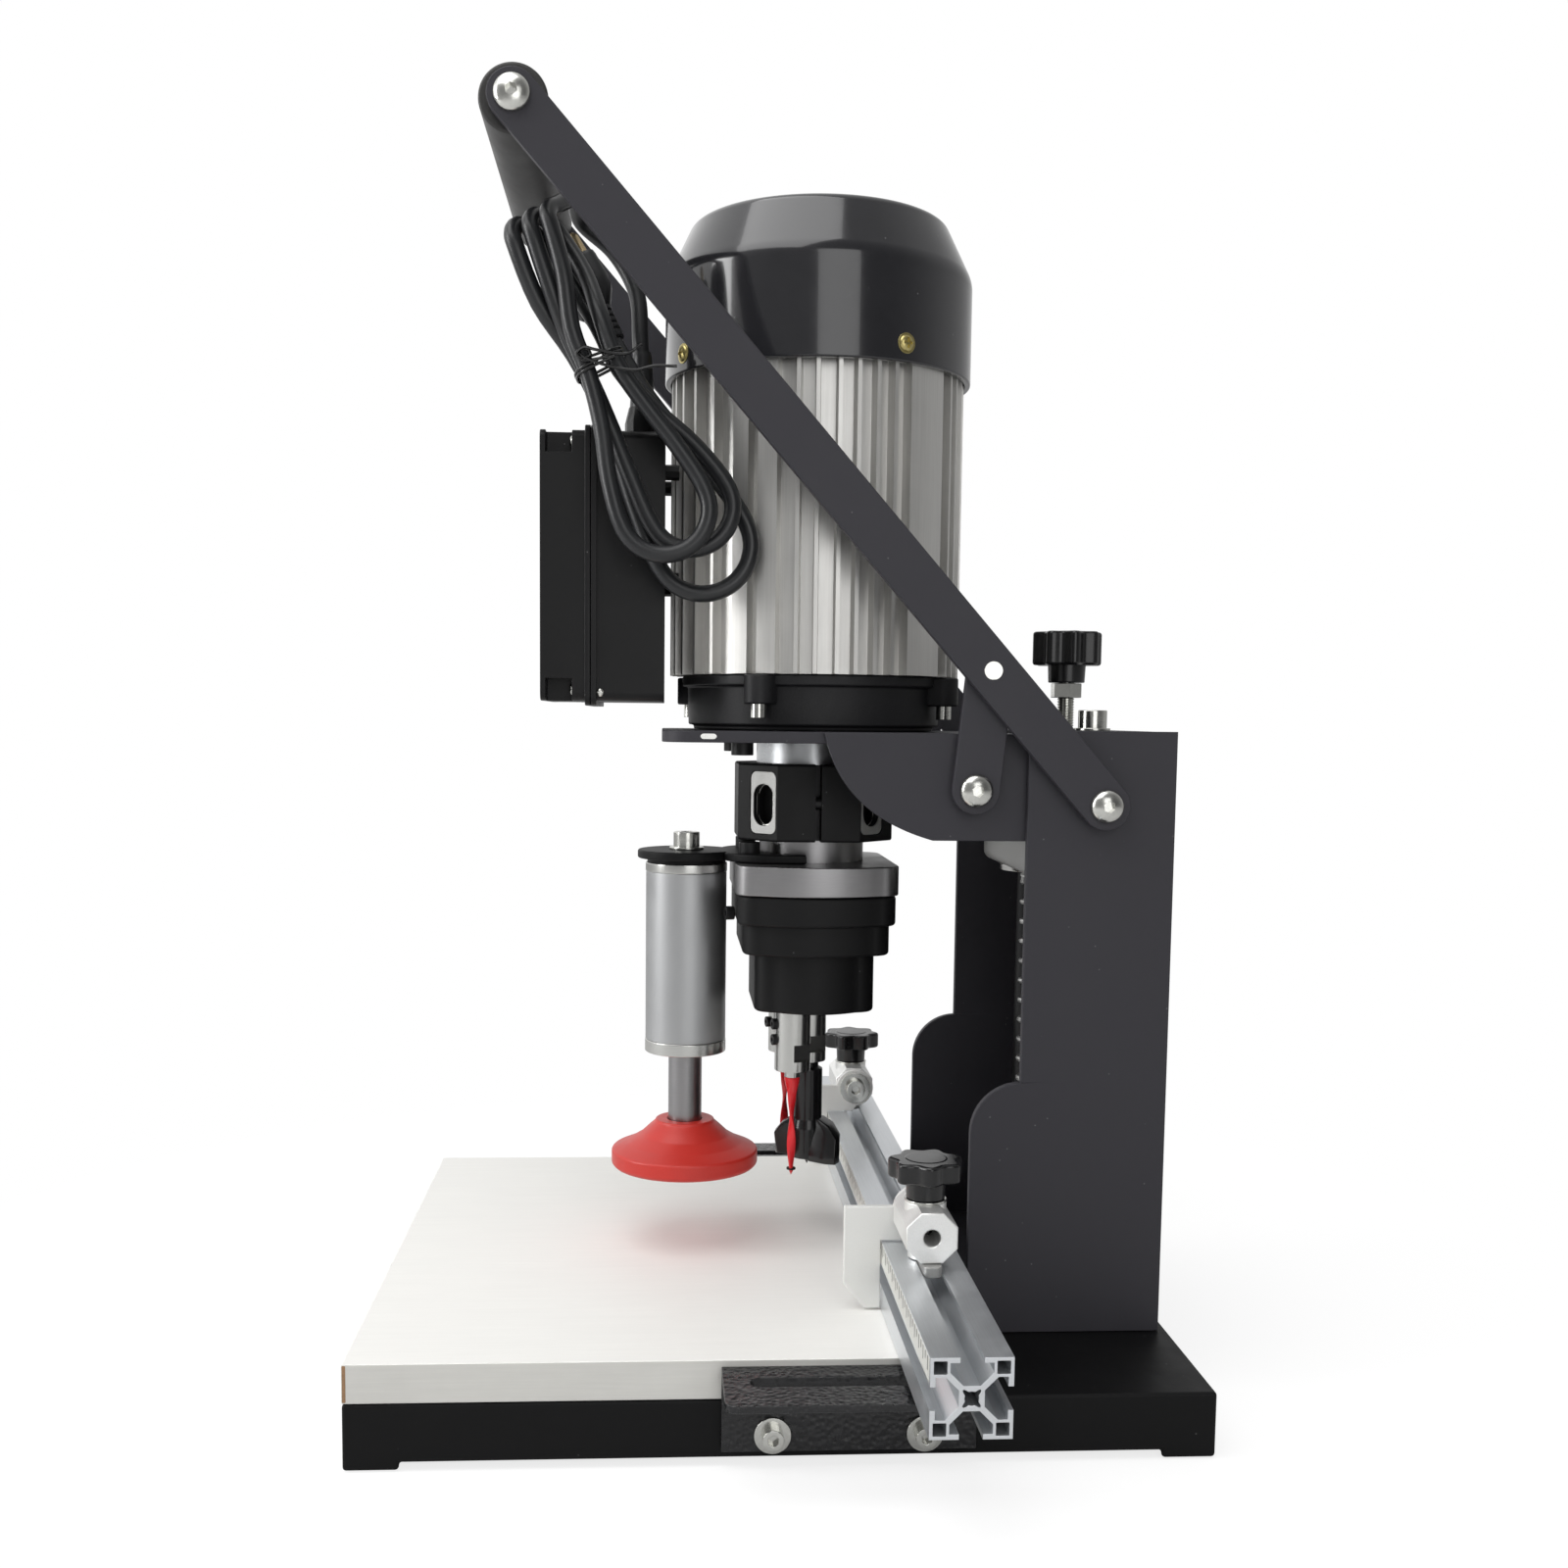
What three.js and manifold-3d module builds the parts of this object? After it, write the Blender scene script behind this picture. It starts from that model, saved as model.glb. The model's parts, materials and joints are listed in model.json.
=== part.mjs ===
// Hinge boring machine: a bench machine that drills one 35 mm hinge cup and two screw holes in one stroke.
// Millimetres, +Z up. The operator stands on the -Y side. The origin is the centre of the base, on the bench.
// Names ending in R lie on the +X side and names ending in L on the -X side.
import * as THREE from 'three';
import { mergeVertices } from 'three/addons/utils/BufferGeometryUtils.js';
import Module from 'manifold-3d';

const wasm = await Module();
wasm.setup();
const { Manifold, Mesh } = wasm;

// Clearances
const gap = 0.3; // between pieces that touch
const slideClear = 0.5; // between plates that slide past each other
const overrun = 2; // how far a cutter passes beyond the material, or a joined shape reaches in
const weld = 0.0001; // distance at which two points are one

// Base and table
const baseWidth = 300;
const baseDepth = 350;
const baseHeight = 27.2;
const baseSheet = 3;
const footHeight = 3.2;
const footLength = 22;
const boardThick = 16;
const boardSpace = 9.3; // from the board's rear edge to the column's foot

// Column
const columnHalf = 84; // outer faces of the cheeks
const cheek = 4;
const columnInset = 4.4; // from the base's rear edge
const columnHeight = 265.4;
const cheekDepth = 64.6;
const footDepth = 86.3;
const stepHeight = 112.2;
const stepRadius = 22.6;
const cheekCorner = 10;
const topPlateInset = 6;
const topPlateThick = 4;

// Slide: two guide shafts with one return spring between them
const slideInset = 28.6; // from the column's rear face to the shafts
const shaftX = 50;
const shaftRadius = 10;
const bearingRadius = 16;
const bearingLip = 3;
const blockAhead = 23;
const blockBehind = 20;
const blockHeight = 61.9;
const blockClear = 2.7; // under the column's top plate, taken up by the depth stop

// Carriage plates
const plateThick = 5;
const plateAhead = 71.5;
const plateClear = 1.5;
const plateCorner = 14;
const gussetThick = 4;
const gussetDrop = 46.2;
const gussetTopReach = 92.9;
const gussetLowReach = 45.4;
const gussetTailInset = 5; // from the block's rear face to the end of each gusset's tail

// Lever and links
const pivotInset = 32.1;
const pivotDrop = 31.9;
const leverRun = 250.9;
const leverRise = 284.6;
const pinReach = 75.8; // from the pivot to the link's pin
const linkDrop = 50.9;
const linkLean = 5.1;
const linkStand = 2; // from the gusset to the link
const linkThick = 4;
const linkHalf = 10.2;
const armThick = 5;
const armHalf = 10.4;
const pinRadius = 3.6;
const pinClearance = 2.2; // the link swings on the pin through a wide hole
const boltRadius = 4; // M8
const boltHead = 7;
const boltHeadHeight = 4.2;
const gripRadius = 14.2;

// Motor
const cupSetback = 24; // from the fence's face to the cup's centre
const shellRadius = 67.8;
const shellRoot = 62.6;
const shellBore = 56;
const shellLength = 135.7;
const flangeHeight = 24.5;
const coverRadius = 70.8;
const coverTopRadius = 58.5;
const coverLap = 2.2;
const coverSide = 45.8;
const coverSlope = 25.4;
const spigotRadius = 26.5;
const motorShaftRadius = 9;
const bellThick = 7;

// Multi-spindle head
const collarDrop = 10.2; // below the motor plate
const collarHeight = 35.5;
const neckRadius = 24.75;
const neckHeight = 10.5;
const headPlateThick = 13.5;
const headHalfX = 51;
const headHalfY = 37.5;
const housingHeight = 55.2;
const gearDrop = 12.2; // from the housing's top to the gears
const gearThick = 12;
const screwPitch = 45; // the two screw holes lie 45 mm apart
const screwAhead = 9.5; // and 9.5 mm ahead of the cup
const spindleRadius = 8.4;
const spindleReach = 28.6;
const cupRadius = 17.5; // 35 mm cup
const bitReach = 48.4;
const bitRadius = 4;
const shankReach = 18;

// Work clamp
const clampAhead = 59.5;
const barrelRadius = 19.4;
const barrelLength = 92.6;
const rodRadius = 8;
const rodSeat = 9;
const padRadius = 35.2;
const padLead = 2.5; // the pad meets the work before the bits do
const padHeight = 22.5;

// Fence and stops
const fenceInset = 30.5; // from the board's rear edge to the fence's face
const fenceSize = 30;
const fenceLength = 450;
const stopLength = 39;
const stopFlats = 21;
const stopRise = 3.2; // the block stands on a round foot over the fence
const stopNearX = 98; // inner end of the block on the +X side
const stopFarX = 135; // inner end of the block on the -X side
const flagThick = 3;

// Control box
const boxHalf = 45;
const boxHeight = 118.4;
const boxRise = 12.4; // above the motor plate
const boxSpace = 2.7; // from the motor's fins
const boxBodyDepth = 32.5;
const boxLidDepth = 22.5;
const boxWall = 2.5;
const boxCorner = 4;

// Cord
const cordRadius = 3.7;
const cordGap = 1.1; // between the loops of the hank

// Places that follow from the sizes
const boardBottom = baseHeight + gap;
const boardTop = boardBottom + boardThick;
const columnRear = baseDepth / 2 - columnInset;
const columnFoot = baseHeight + gap;
const columnFloor = columnFoot + cheek;
const columnTop = columnFoot + columnHeight;
const cheekFront = columnRear - cheekDepth;
const cheekInner = columnHalf - cheek;
const footFront = columnRear - footDepth;
const stepTop = columnFoot + stepHeight;
const topPlateFront = cheekFront + topPlateInset;
const topPlateTop = columnTop - gap;
const topPlateBottom = topPlateTop - topPlateThick;
const boardRear = footFront - boardSpace;
const fenceFront = boardRear - fenceInset;
const fenceBottom = boardTop + gap;
const fenceTop = fenceBottom + fenceSize;
const fenceY = fenceFront + fenceSize / 2;
const axisY = fenceFront - cupSetback;
const slideY = columnRear - slideInset;
const blockFront = slideY - blockAhead;
const blockRear = slideY + blockBehind;
const blockTop = topPlateBottom - blockClear;
const blockBottom = blockTop - blockHeight;
const gussetOuter = cheekInner - slideClear;
const gussetInner = gussetOuter - gussetThick;
const blockHalf = gussetInner - gap;
const plateBottom = blockTop + gap;
const plateTop = plateBottom + plateThick;
const plateFront = axisY - plateAhead;
const plateRear = cheekFront - plateClear;
const gussetRear = topPlateFront - 2 * gap;
const gussetTail = blockRear - gussetTailInset;
const gussetBottom = plateTop - gussetDrop;
const pivotY = columnRear - pivotInset;
const pivotZ = columnTop - pivotDrop;
const gripY = pivotY - leverRun;
const gripZ = pivotZ + leverRise;
const pinShare = pinReach / Math.hypot(leverRun, leverRise);
const pinY = pivotY - leverRun * pinShare;
const pinZ = pivotZ + leverRise * pinShare;
const linkY = pinY - linkLean;
const linkZ = pinZ - linkDrop;
const linkInner = gussetOuter + linkStand;
const linkOuter = linkInner + linkThick;
const armInner = linkOuter + slideClear;
const armOuter = armInner + armThick;
const flangeBottom = plateTop + gap;
const flangeTop = flangeBottom + flangeHeight;
const shellBottom = flangeTop + gap;
const shellTop = shellBottom + shellLength;
const coverBottom = shellTop - coverLap;
const coverShoulder = coverBottom + coverSide;
const coverTop = coverShoulder + coverSlope;
const collarTop = plateBottom - collarDrop;
const collarBottom = collarTop - collarHeight;
const collarMiddle = (collarTop + collarBottom) / 2;
const headPlateTop = collarBottom - neckHeight;
const headPlateBottom = headPlateTop - headPlateThick;
const housingTop = headPlateBottom - gap;
const housingBottom = housingTop - housingHeight;
const gearTop = housingTop - gearDrop;
const gearBottom = gearTop - gearThick;
const screwSide = screwPitch / 2;
const spindleBottom = housingBottom - spindleReach;
const bitBottom = spindleBottom - bitReach;
const shankTop = spindleBottom + shankReach;
const clampY = axisY - clampAhead;
const barrelBottom = headPlateTop - barrelLength;
const padBottom = bitBottom - padLead;
const padTop = padBottom + padHeight;
const rodEnd = padTop - rodSeat;
const boxBack = axisY - shellRadius - boxSpace;
const boxSeam = boxBack - boxBodyDepth;
const boxFront = boxSeam - boxLidDepth;
const boxBottom = plateTop + boxRise;
const boxTop = boxBottom + boxHeight;

const corners = [[-1, -1], [-1, 1], [1, -1], [1, 1]];
const degree = Math.PI / 180;

const paint = (name, color, roughness, metalness) =>
  new THREE.MeshStandardMaterial({ name, color, roughness, metalness });
const charcoal = paint('charcoal_powder_coat', 0x3b3b40, 0.55, 0.1);
const blackCoat = paint('black_coat', 0x141416, 0.5, 0.1);
const melamine = paint('white_melamine', 0xe9e9e4, 0.5, 0);
const steel = paint('ground_steel', 0xb9b9b6, 0.28, 1);
const springSteel = paint('spring_steel', 0x2a2a2c, 0.4, 0.8);
const aluminium = paint('aluminium', 0xb4b6b8, 0.35, 1);
const satin = paint('satin_aluminium', 0x9fa1a3, 0.5, 1);
const castBlack = paint('cast_black', 0x1b1b1d, 0.6, 0.2);
const gloss = paint('gloss_black', 0x0b0b0d, 0.15, 0.1);
const plastic = paint('black_plastic', 0x18181a, 0.45, 0);
const red = paint('red_plastic', 0xc63a2e, 0.45, 0);
const redCoat = paint('red_coat', 0xc8232b, 0.35, 0.2);
const copper = paint('winding', 0x8a4b2a, 0.5, 0.6);
const rubber = paint('cord_rubber', 0x1c1c1e, 0.5, 0);

const machine = new THREE.Group();
machine.name = 'hinge_boring_machine';

function add(name, geometry, material, x = 0, y = 0, z = 0) {
  const mesh = new THREE.Mesh(geometry, material);
  mesh.name = name;
  mesh.position.set(x, y, z);
  machine.add(mesh);
}

function toManifold(geometry) {
  const bare = geometry.clone();
  bare.deleteAttribute('uv');
  bare.deleteAttribute('normal');
  const welded = mergeVertices(bare, weld);
  const vertProperties = new Float32Array(welded.attributes.position.array);
  const triVerts = new Uint32Array(welded.index.array);
  const mesh = new Mesh({ numProp: 3, vertProperties, triVerts });
  mesh.merge();
  return new Manifold(mesh);
}

function toGeometry(solid) {
  const mesh = solid.getMesh();
  const geometry = new THREE.BufferGeometry();
  geometry.setAttribute('position', new THREE.BufferAttribute(mesh.vertProperties, 3));
  geometry.setIndex(new THREE.BufferAttribute(mesh.triVerts, 1));
  const flat = geometry.toNonIndexed();
  flat.computeVertexNormals();
  return flat;
}

const join = (...parts) => toGeometry(Manifold.union(parts.map(toManifold)));
const cut = (body, ...tools) => toGeometry(toManifold(body).subtract(Manifold.union(tools.map(toManifold))));
const common = (a, b) => toGeometry(toManifold(a).intersect(toManifold(b)));
const mirrorX = (geometry) => toGeometry(toManifold(geometry).mirror([1, 0, 0]));

function addPair(name, geometry, material) {
  add(`${name}_R`, geometry, material);
  add(`${name}_L`, mirrorX(geometry), material);
}

// A box from its low corner to its high corner
function block(x0, y0, z0, x1, y1, z1) {
  const geometry = new THREE.BoxGeometry(x1 - x0, y1 - y0, z1 - z0);
  return geometry.translate((x0 + x1) / 2, (y0 + y1) / 2, (z0 + z1) / 2);
}

// A round bar along +Z from z0 to z1
function bar(radius, z0, z1, x = 0, y = 0, sides = 12) {
  const geometry = new THREE.CylinderGeometry(radius, radius, z1 - z0, sides);
  return geometry.rotateX(Math.PI / 2).translate(x, y, (z0 + z1) / 2);
}

// A round bar along +X from x0 to x1, centred on y and z
function crossBar(radius, x0, x1, y, z, sides = 12) {
  const geometry = new THREE.CylinderGeometry(radius, radius, x1 - x0, sides);
  return geometry.rotateZ(-Math.PI / 2).translate((x0 + x1) / 2, y, z);
}

// A round bar along +Y from y0 to y1, centred on x and z
function depthBar(radius, y0, y1, x, z, sides = 12) {
  const geometry = new THREE.CylinderGeometry(radius, radius, y1 - y0, sides);
  return geometry.translate(x, (y0 + y1) / 2, z);
}

// A turned solid about +Z; the profile lists radius and height from the lower axis end to the upper one
function turned(profile, sides = 20) {
  const points = profile.map(([r, z]) => new THREE.Vector2(r, z));
  return new THREE.LatheGeometry(points, sides).rotateX(Math.PI / 2);
}

const outline = (points) => new THREE.Shape(points.map(([a, b]) => new THREE.Vector2(a, b)));

// A plate whose outline lies in X and Y, from z0 to z1
function plate(shape, z0, z1, curveSegments = 6) {
  const options = { depth: z1 - z0, bevelEnabled: false, curveSegments };
  return new THREE.ExtrudeGeometry(shape, options).translate(0, 0, z0);
}

// A plate whose outline lies in Y and Z, from x0 to x1
function sidePlate(shape, x0, x1, curveSegments = 6) {
  const basis = new THREE.Matrix4().makeBasis(
    new THREE.Vector3(0, 1, 0),
    new THREE.Vector3(0, 0, 1),
    new THREE.Vector3(1, 0, 0),
  );
  return plate(shape, x0, x1, curveSegments).applyMatrix4(basis);
}

// A plate whose outline lies in X and Z with Z turned down, from y0 to y1
function frontPlate(shape, y0, y1, curveSegments = 2) {
  const basis = new THREE.Matrix4().makeBasis(
    new THREE.Vector3(1, 0, 0),
    new THREE.Vector3(0, 0, -1),
    new THREE.Vector3(0, 1, 0),
  );
  return plate(shape, y0, y1, curveSegments).applyMatrix4(basis);
}

function roundedRect(a0, b0, a1, b1, r) {
  const shape = new THREE.Shape();
  shape.moveTo(a0 + r, b0);
  shape.lineTo(a1 - r, b0);
  shape.absarc(a1 - r, b0 + r, r, -Math.PI / 2, 0);
  shape.lineTo(a1, b1 - r);
  shape.absarc(a1 - r, b1 - r, r, 0, Math.PI / 2);
  shape.lineTo(a0 + r, b1);
  shape.absarc(a0 + r, b1 - r, r, Math.PI / 2, Math.PI);
  shape.lineTo(a0, b0 + r);
  shape.absarc(a0 + r, b0 + r, r, Math.PI, Math.PI * 1.5);
  return shape;
}

// An eight-sided outline with half its width across the flats and the length that each corner loses
const octagon = (half, corner) => outline([
  [corner - half, -half], [half - corner, -half], [half, corner - half], [half, half - corner],
  [half - corner, half], [corner - half, half], [-half, half - corner], [-half, corner - half],
]);

// A strap with round ends between two points
function strap(a0, b0, a1, b1, half) {
  const turn = Math.atan2(b1 - b0, a1 - a0);
  const shape = new THREE.Shape();
  shape.absarc(a1, b1, half, turn - Math.PI / 2, turn + Math.PI / 2);
  shape.absarc(a0, b0, half, turn + Math.PI / 2, turn + Math.PI * 1.5);
  return shape;
}

// One unbroken tube of round section through a list of points, closed by flat ends
function tube(points, radius, sides) {
  const count = points.length;
  const tangents = points.map((point, i) => {
    const before = points[Math.max(i - 1, 0)];
    const after = points[Math.min(i + 1, count - 1)];
    return after.clone().sub(before).normalize();
  });
  const steep = Math.abs(tangents[0].z) > Math.abs(tangents[0].x);
  const seed = steep ? new THREE.Vector3(1, 0, 0) : new THREE.Vector3(0, 0, 1);
  let normal = seed;
  const positions = [];
  for (let i = 0; i < count; i += 1) {
    normal = normal.clone().sub(tangents[i].clone().multiplyScalar(normal.dot(tangents[i]))).normalize();
    const side = tangents[i].clone().cross(normal);
    for (let j = 0; j < sides; j += 1) {
      const angle = (2 * Math.PI * j) / sides;
      const spoke = normal.clone().multiplyScalar(Math.cos(angle));
      spoke.add(side.clone().multiplyScalar(Math.sin(angle)));
      positions.push(...points[i].clone().add(spoke.multiplyScalar(radius)).toArray());
    }
  }
  positions.push(...points[0].toArray(), ...points[count - 1].toArray());
  const first = count * sides;
  const index = [];
  for (let i = 0; i < count - 1; i += 1) {
    for (let j = 0; j < sides; j += 1) {
      const a = i * sides + j;
      const b = i * sides + ((j + 1) % sides);
      index.push(a, b, b + sides, a, b + sides, a + sides);
    }
  }
  for (let j = 0; j < sides; j += 1) {
    const next = (j + 1) % sides;
    index.push(first, next, j);
    index.push(first + 1, (count - 1) * sides + j, (count - 1) * sides + next);
  }
  const geometry = new THREE.BufferGeometry();
  geometry.setAttribute('position', new THREE.Float32BufferAttribute(positions, 3));
  geometry.setIndex(index);
  geometry.computeVertexNormals();
  return geometry;
}

// The least free space between stretches of one tube that aren't neighbours along it
function selfGap(points, radius, apart) {
  const run = [0];
  for (let i = 1; i < points.length; i += 1) {
    run.push(run[i - 1] + points[i].distanceTo(points[i - 1]));
  }
  let least = Infinity;
  for (let i = 0; i < points.length; i += 1) {
    for (let j = i + 1; j < points.length; j += 1) {
      if (run[j] - run[i] > apart) {
        least = Math.min(least, points[i].distanceTo(points[j]) - 2 * radius);
      }
    }
  }
  return least;
}

// A button-head bolt along +X whose shank starts at x0 and whose head starts at x1
function buttonBolt(x0, x1, y, z) {
  const edgeShare = 0.93;
  const edgeRiseShare = 0.4;
  const crownShare = 0.55;
  const profile = turned([
    [0, x0],
    [boltRadius, x0],
    [boltRadius, x1],
    [boltHead, x1],
    [boltHead * edgeShare, x1 + boltHeadHeight * edgeRiseShare],
    [boltHead * crownShare, x1 + boltHeadHeight],
    [0, x1 + boltHeadHeight],
  ], 14);
  return profile.rotateY(Math.PI / 2).translate(0, y, z);
}

// Base: a folded tray, open below, that stands on four corner feet
function baseFrame() {
  const w = baseWidth / 2;
  const d = baseDepth / 2;
  const tray = block(-w, -d, 0, w, d, baseHeight);
  const hollow = block(
    baseSheet - w, baseSheet - d, -overrun,
    w - baseSheet, d - baseSheet, baseHeight - baseSheet,
  );
  const sideRelief = block(-w - overrun, footLength - d, -overrun, w + overrun, d - footLength, footHeight);
  const endRelief = block(footLength - w, -d - overrun, -overrun, w - footLength, d + overrun, footHeight);
  add('base_frame', cut(tray, hollow, sideRelief, endRelief), blackCoat);
}

function tableBoard() {
  const w = baseWidth / 2;
  add('table_board', block(-w, -baseDepth / 2, boardBottom, w, boardRear, boardTop), melamine);
}

// Column: two cheeks with a stepped front, joined by a rear wall and a floor
function columnShell() {
  const side = new THREE.Shape();
  side.moveTo(columnRear, columnFoot);
  side.lineTo(columnRear, columnTop);
  side.lineTo(cheekFront + cheekCorner, columnTop);
  side.absarc(cheekFront + cheekCorner, columnTop - cheekCorner, cheekCorner, Math.PI / 2, Math.PI);
  side.lineTo(cheekFront, stepTop);
  side.lineTo(footFront + stepRadius, stepTop);
  side.absarc(footFront + stepRadius, stepTop - stepRadius, stepRadius, Math.PI / 2, Math.PI);
  side.lineTo(footFront, columnFoot);
  const channel = block(
    -cheekInner, footFront - overrun, columnFloor,
    cheekInner, columnRear - cheek, columnTop + overrun,
  );
  const reach = columnHalf + overrun;
  const pivots = crossBar(boltRadius + gap, -reach, reach, pivotY, pivotZ);
  add('column_shell', cut(sidePlate(side, -columnHalf, columnHalf, 8), channel, pivots), charcoal);
}

function columnTopPlate() {
  const inner = cheekInner - gap;
  const rear = columnRear - cheek - gap;
  const cap = block(-inner, topPlateFront, topPlateBottom, inner, rear, topPlateTop);
  const holes = [-shaftX, 0, shaftX].map((x) =>
    bar(boltRadius + gap, topPlateBottom - overrun, topPlateTop + overrun, x, slideY));
  add('column_top_plate', cut(cap, ...holes), charcoal);
}

// Guide shafts with tapped tops
function guideShafts() {
  const thread = 22;
  const top = topPlateBottom - gap;
  const shaft = cut(
    bar(shaftRadius, columnFloor + gap, top, shaftX, slideY, 16),
    bar(boltRadius + gap, top - thread, top + overrun, shaftX, slideY),
  );
  addPair('guide_shaft', shaft, steel);
}

// Carriage block with its two plain bearings
function slideBlock() {
  const corner = 5;
  const shape = roundedRect(blockFront, blockBottom, blockRear, blockTop, corner);
  const bores = [-shaftX, shaftX].map((x) =>
    bar(bearingRadius + gap, blockBottom - overrun, blockTop + overrun, x, slideY, 20));
  add('slide_block', cut(sidePlate(shape, -blockHalf, blockHalf, 3), ...bores), aluminium);

  const inner = shaftRadius + gap;
  const lip = bearingRadius + bearingLip;
  const lipTop = blockBottom - gap;
  const sleeve = turned([
    [inner, lipTop - bearingLip],
    [lip, lipTop - bearingLip],
    [lip, lipTop],
    [bearingRadius, lipTop],
    [bearingRadius, blockTop - gap],
    [inner, blockTop - gap],
    [inner, lipTop - bearingLip],
  ]).translate(shaftX, slideY, 0);
  addPair('slide_bearing', sleeve, steel);
}

// Return spring: one open coil that stands between the guide shafts, its ends square to what they press on
function returnSpring() {
  const wire = 1.4;
  const coil = 18;
  const curls = 19;
  const steps = 8;
  const low = columnFloor + gap;
  const high = blockBottom - gap;
  const start = low + 2 * wire;
  const climb = high - low - 4 * wire;
  const points = [new THREE.Vector3(0, slideY - coil, low)];
  for (let i = 0; i <= curls * steps; i += 1) {
    const turn = (2 * Math.PI * i) / steps;
    const z = start + (climb * i) / (curls * steps);
    points.push(new THREE.Vector3(coil * Math.sin(turn), slideY - coil * Math.cos(turn), z));
  }
  points.push(new THREE.Vector3(0, slideY - coil, high));
  console.log('return_spring least gap', selfGap(points, wire, Math.PI * coil).toFixed(2));
  add('return_spring', tube(points, wire, 5), springSteel);
}

function motorPlate() {
  const shape = new THREE.Shape();
  shape.moveTo(plateCorner - blockHalf, plateFront);
  shape.lineTo(blockHalf - plateCorner, plateFront);
  shape.absarc(blockHalf - plateCorner, plateFront + plateCorner, plateCorner, -Math.PI / 2, 0);
  shape.lineTo(blockHalf, plateRear);
  shape.lineTo(-blockHalf, plateRear);
  shape.absarc(plateCorner - blockHalf, plateFront + plateCorner, plateCorner, Math.PI, Math.PI * 1.5);
  const hole = bar(spigotRadius + gap, plateBottom - overrun, plateTop + overrun, 0, axisY, 24);
  add('motor_plate', cut(plate(shape, plateBottom, plateTop), hole), charcoal);
}

// Gussets that carry the motor plate; each has a tail alongside the carriage block, under the top plate
function gussets() {
  const waistReachShare = 0.833; // where the front curve passes, as shares of the reach and the drop
  const waistDropShare = 0.632;
  const topFront = gussetRear - gussetTopReach;
  const lowFront = gussetRear - gussetLowReach;
  const waistY = gussetRear - gussetTopReach * waistReachShare;
  const waistZ = plateTop - gussetDrop * waistDropShare;
  const side = new THREE.Shape();
  side.moveTo(gussetTail, gussetBottom);
  side.lineTo(gussetTail, blockTop);
  side.lineTo(gussetRear, blockTop);
  side.lineTo(gussetRear, plateTop);
  side.lineTo(topFront, plateTop);
  side.quadraticCurveTo(
    2 * waistY - (topFront + lowFront) / 2, 2 * waistZ - (plateTop + gussetBottom) / 2,
    lowFront, gussetBottom,
  );
  const hole = crossBar(boltRadius + gap, gussetInner - overrun, gussetOuter + overrun, linkY, linkZ);
  addPair('gusset', cut(sidePlate(side, gussetInner, gussetOuter, 12), hole), charcoal);
}

// Lever: two flat arms, each with a pressed-in pin and a spacer boss, and the grip between them
function lever() {
  const bossRadius = 9;
  const tap = 30;
  const flat = sidePlate(strap(pivotY, pivotZ, gripY, gripZ, armHalf), armInner, armOuter, 8);
  const boss = crossBar(bossRadius, columnHalf + gap, armInner + overrun, pivotY, pivotZ, 16);
  const pin = crossBar(pinRadius, linkInner - gap, armOuter, pinY, pinZ);
  const eye = crossBar(boltRadius + gap, columnHalf - overrun, armOuter + overrun, pivotY, pivotZ);
  const gripHole = crossBar(boltRadius + gap, armInner - overrun, armOuter + overrun, gripY, gripZ);
  addPair('lever_arm', cut(join(flat, boss, pin), eye, gripHole), charcoal);
  addPair('pivot_bolt', buttonBolt(cheekInner, armOuter + gap, pivotY, pivotZ), steel);

  const end = armInner - gap;
  const taps = [[-end - overrun, tap - end], [end - tap, end + overrun]].map(([x0, x1]) =>
    crossBar(boltRadius + gap, x0, x1, gripY, gripZ));
  add('handle_grip', cut(crossBar(gripRadius, -end, end, gripY, gripZ, 24), ...taps), blackCoat);
}

// Links between the lever pins and the gussets
function links() {
  const bossRadius = 8;
  const flat = sidePlate(strap(linkY, linkZ, pinY, pinZ, linkHalf), linkInner, linkOuter, 8);
  const boss = crossBar(bossRadius, gussetOuter + gap, linkInner + overrun, linkY, linkZ, 16);
  const eye = crossBar(boltRadius + gap, gussetOuter - overrun, linkOuter + overrun, linkY, linkZ);
  const hole = crossBar(pinRadius + pinClearance, linkInner - overrun, linkOuter + overrun, pinY, pinZ, 16);
  addPair('link', cut(join(flat, boss), eye, hole), charcoal);
  addPair('link_bolt', buttonBolt(gussetInner, linkOuter + gap, linkY, linkZ), steel);
}

// Cast end flange of the motor, with four bolt lugs and a seat for the spigot
const flangeFloor = 9;

function motorFlange() {
  const rimRadius = 61.9;
  const rimHeight = 5;
  const bodyRadius = 59;
  const seatRadius = 56.5;
  const seatHeight = 1.8;
  const pocketRadius = 50;
  const lugAngle = -27;
  const lugReach = 64.5;
  const lugRadius = 6.5;
  const lugHeight = 13;
  const bore = spigotRadius + gap;
  const body = turned([
    [bore, flangeBottom],
    [seatRadius, flangeBottom],
    [seatRadius, flangeBottom + seatHeight],
    [bodyRadius, flangeBottom + seatHeight],
    [bodyRadius, flangeTop - rimHeight],
    [rimRadius, flangeTop - rimHeight],
    [rimRadius, flangeTop],
    [pocketRadius, flangeTop],
    [pocketRadius, flangeBottom + flangeFloor],
    [bore, flangeBottom + flangeFloor],
    [bore, flangeBottom],
  ], 28);
  const lugs = [0, 1, 2, 3].map((quarter) => {
    const turn = (lugAngle + 90 * quarter) * degree;
    const low = flangeTop - lugHeight;
    const ear = block(bodyRadius - overrun, -lugRadius, low, lugReach, lugRadius, flangeTop);
    return join(ear, bar(lugRadius, low, flangeTop, lugReach, 0, 10)).rotateZ(turn);
  });
  add('motor_flange', join(body, ...lugs).translate(0, axisY, 0), castBlack);
}

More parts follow.
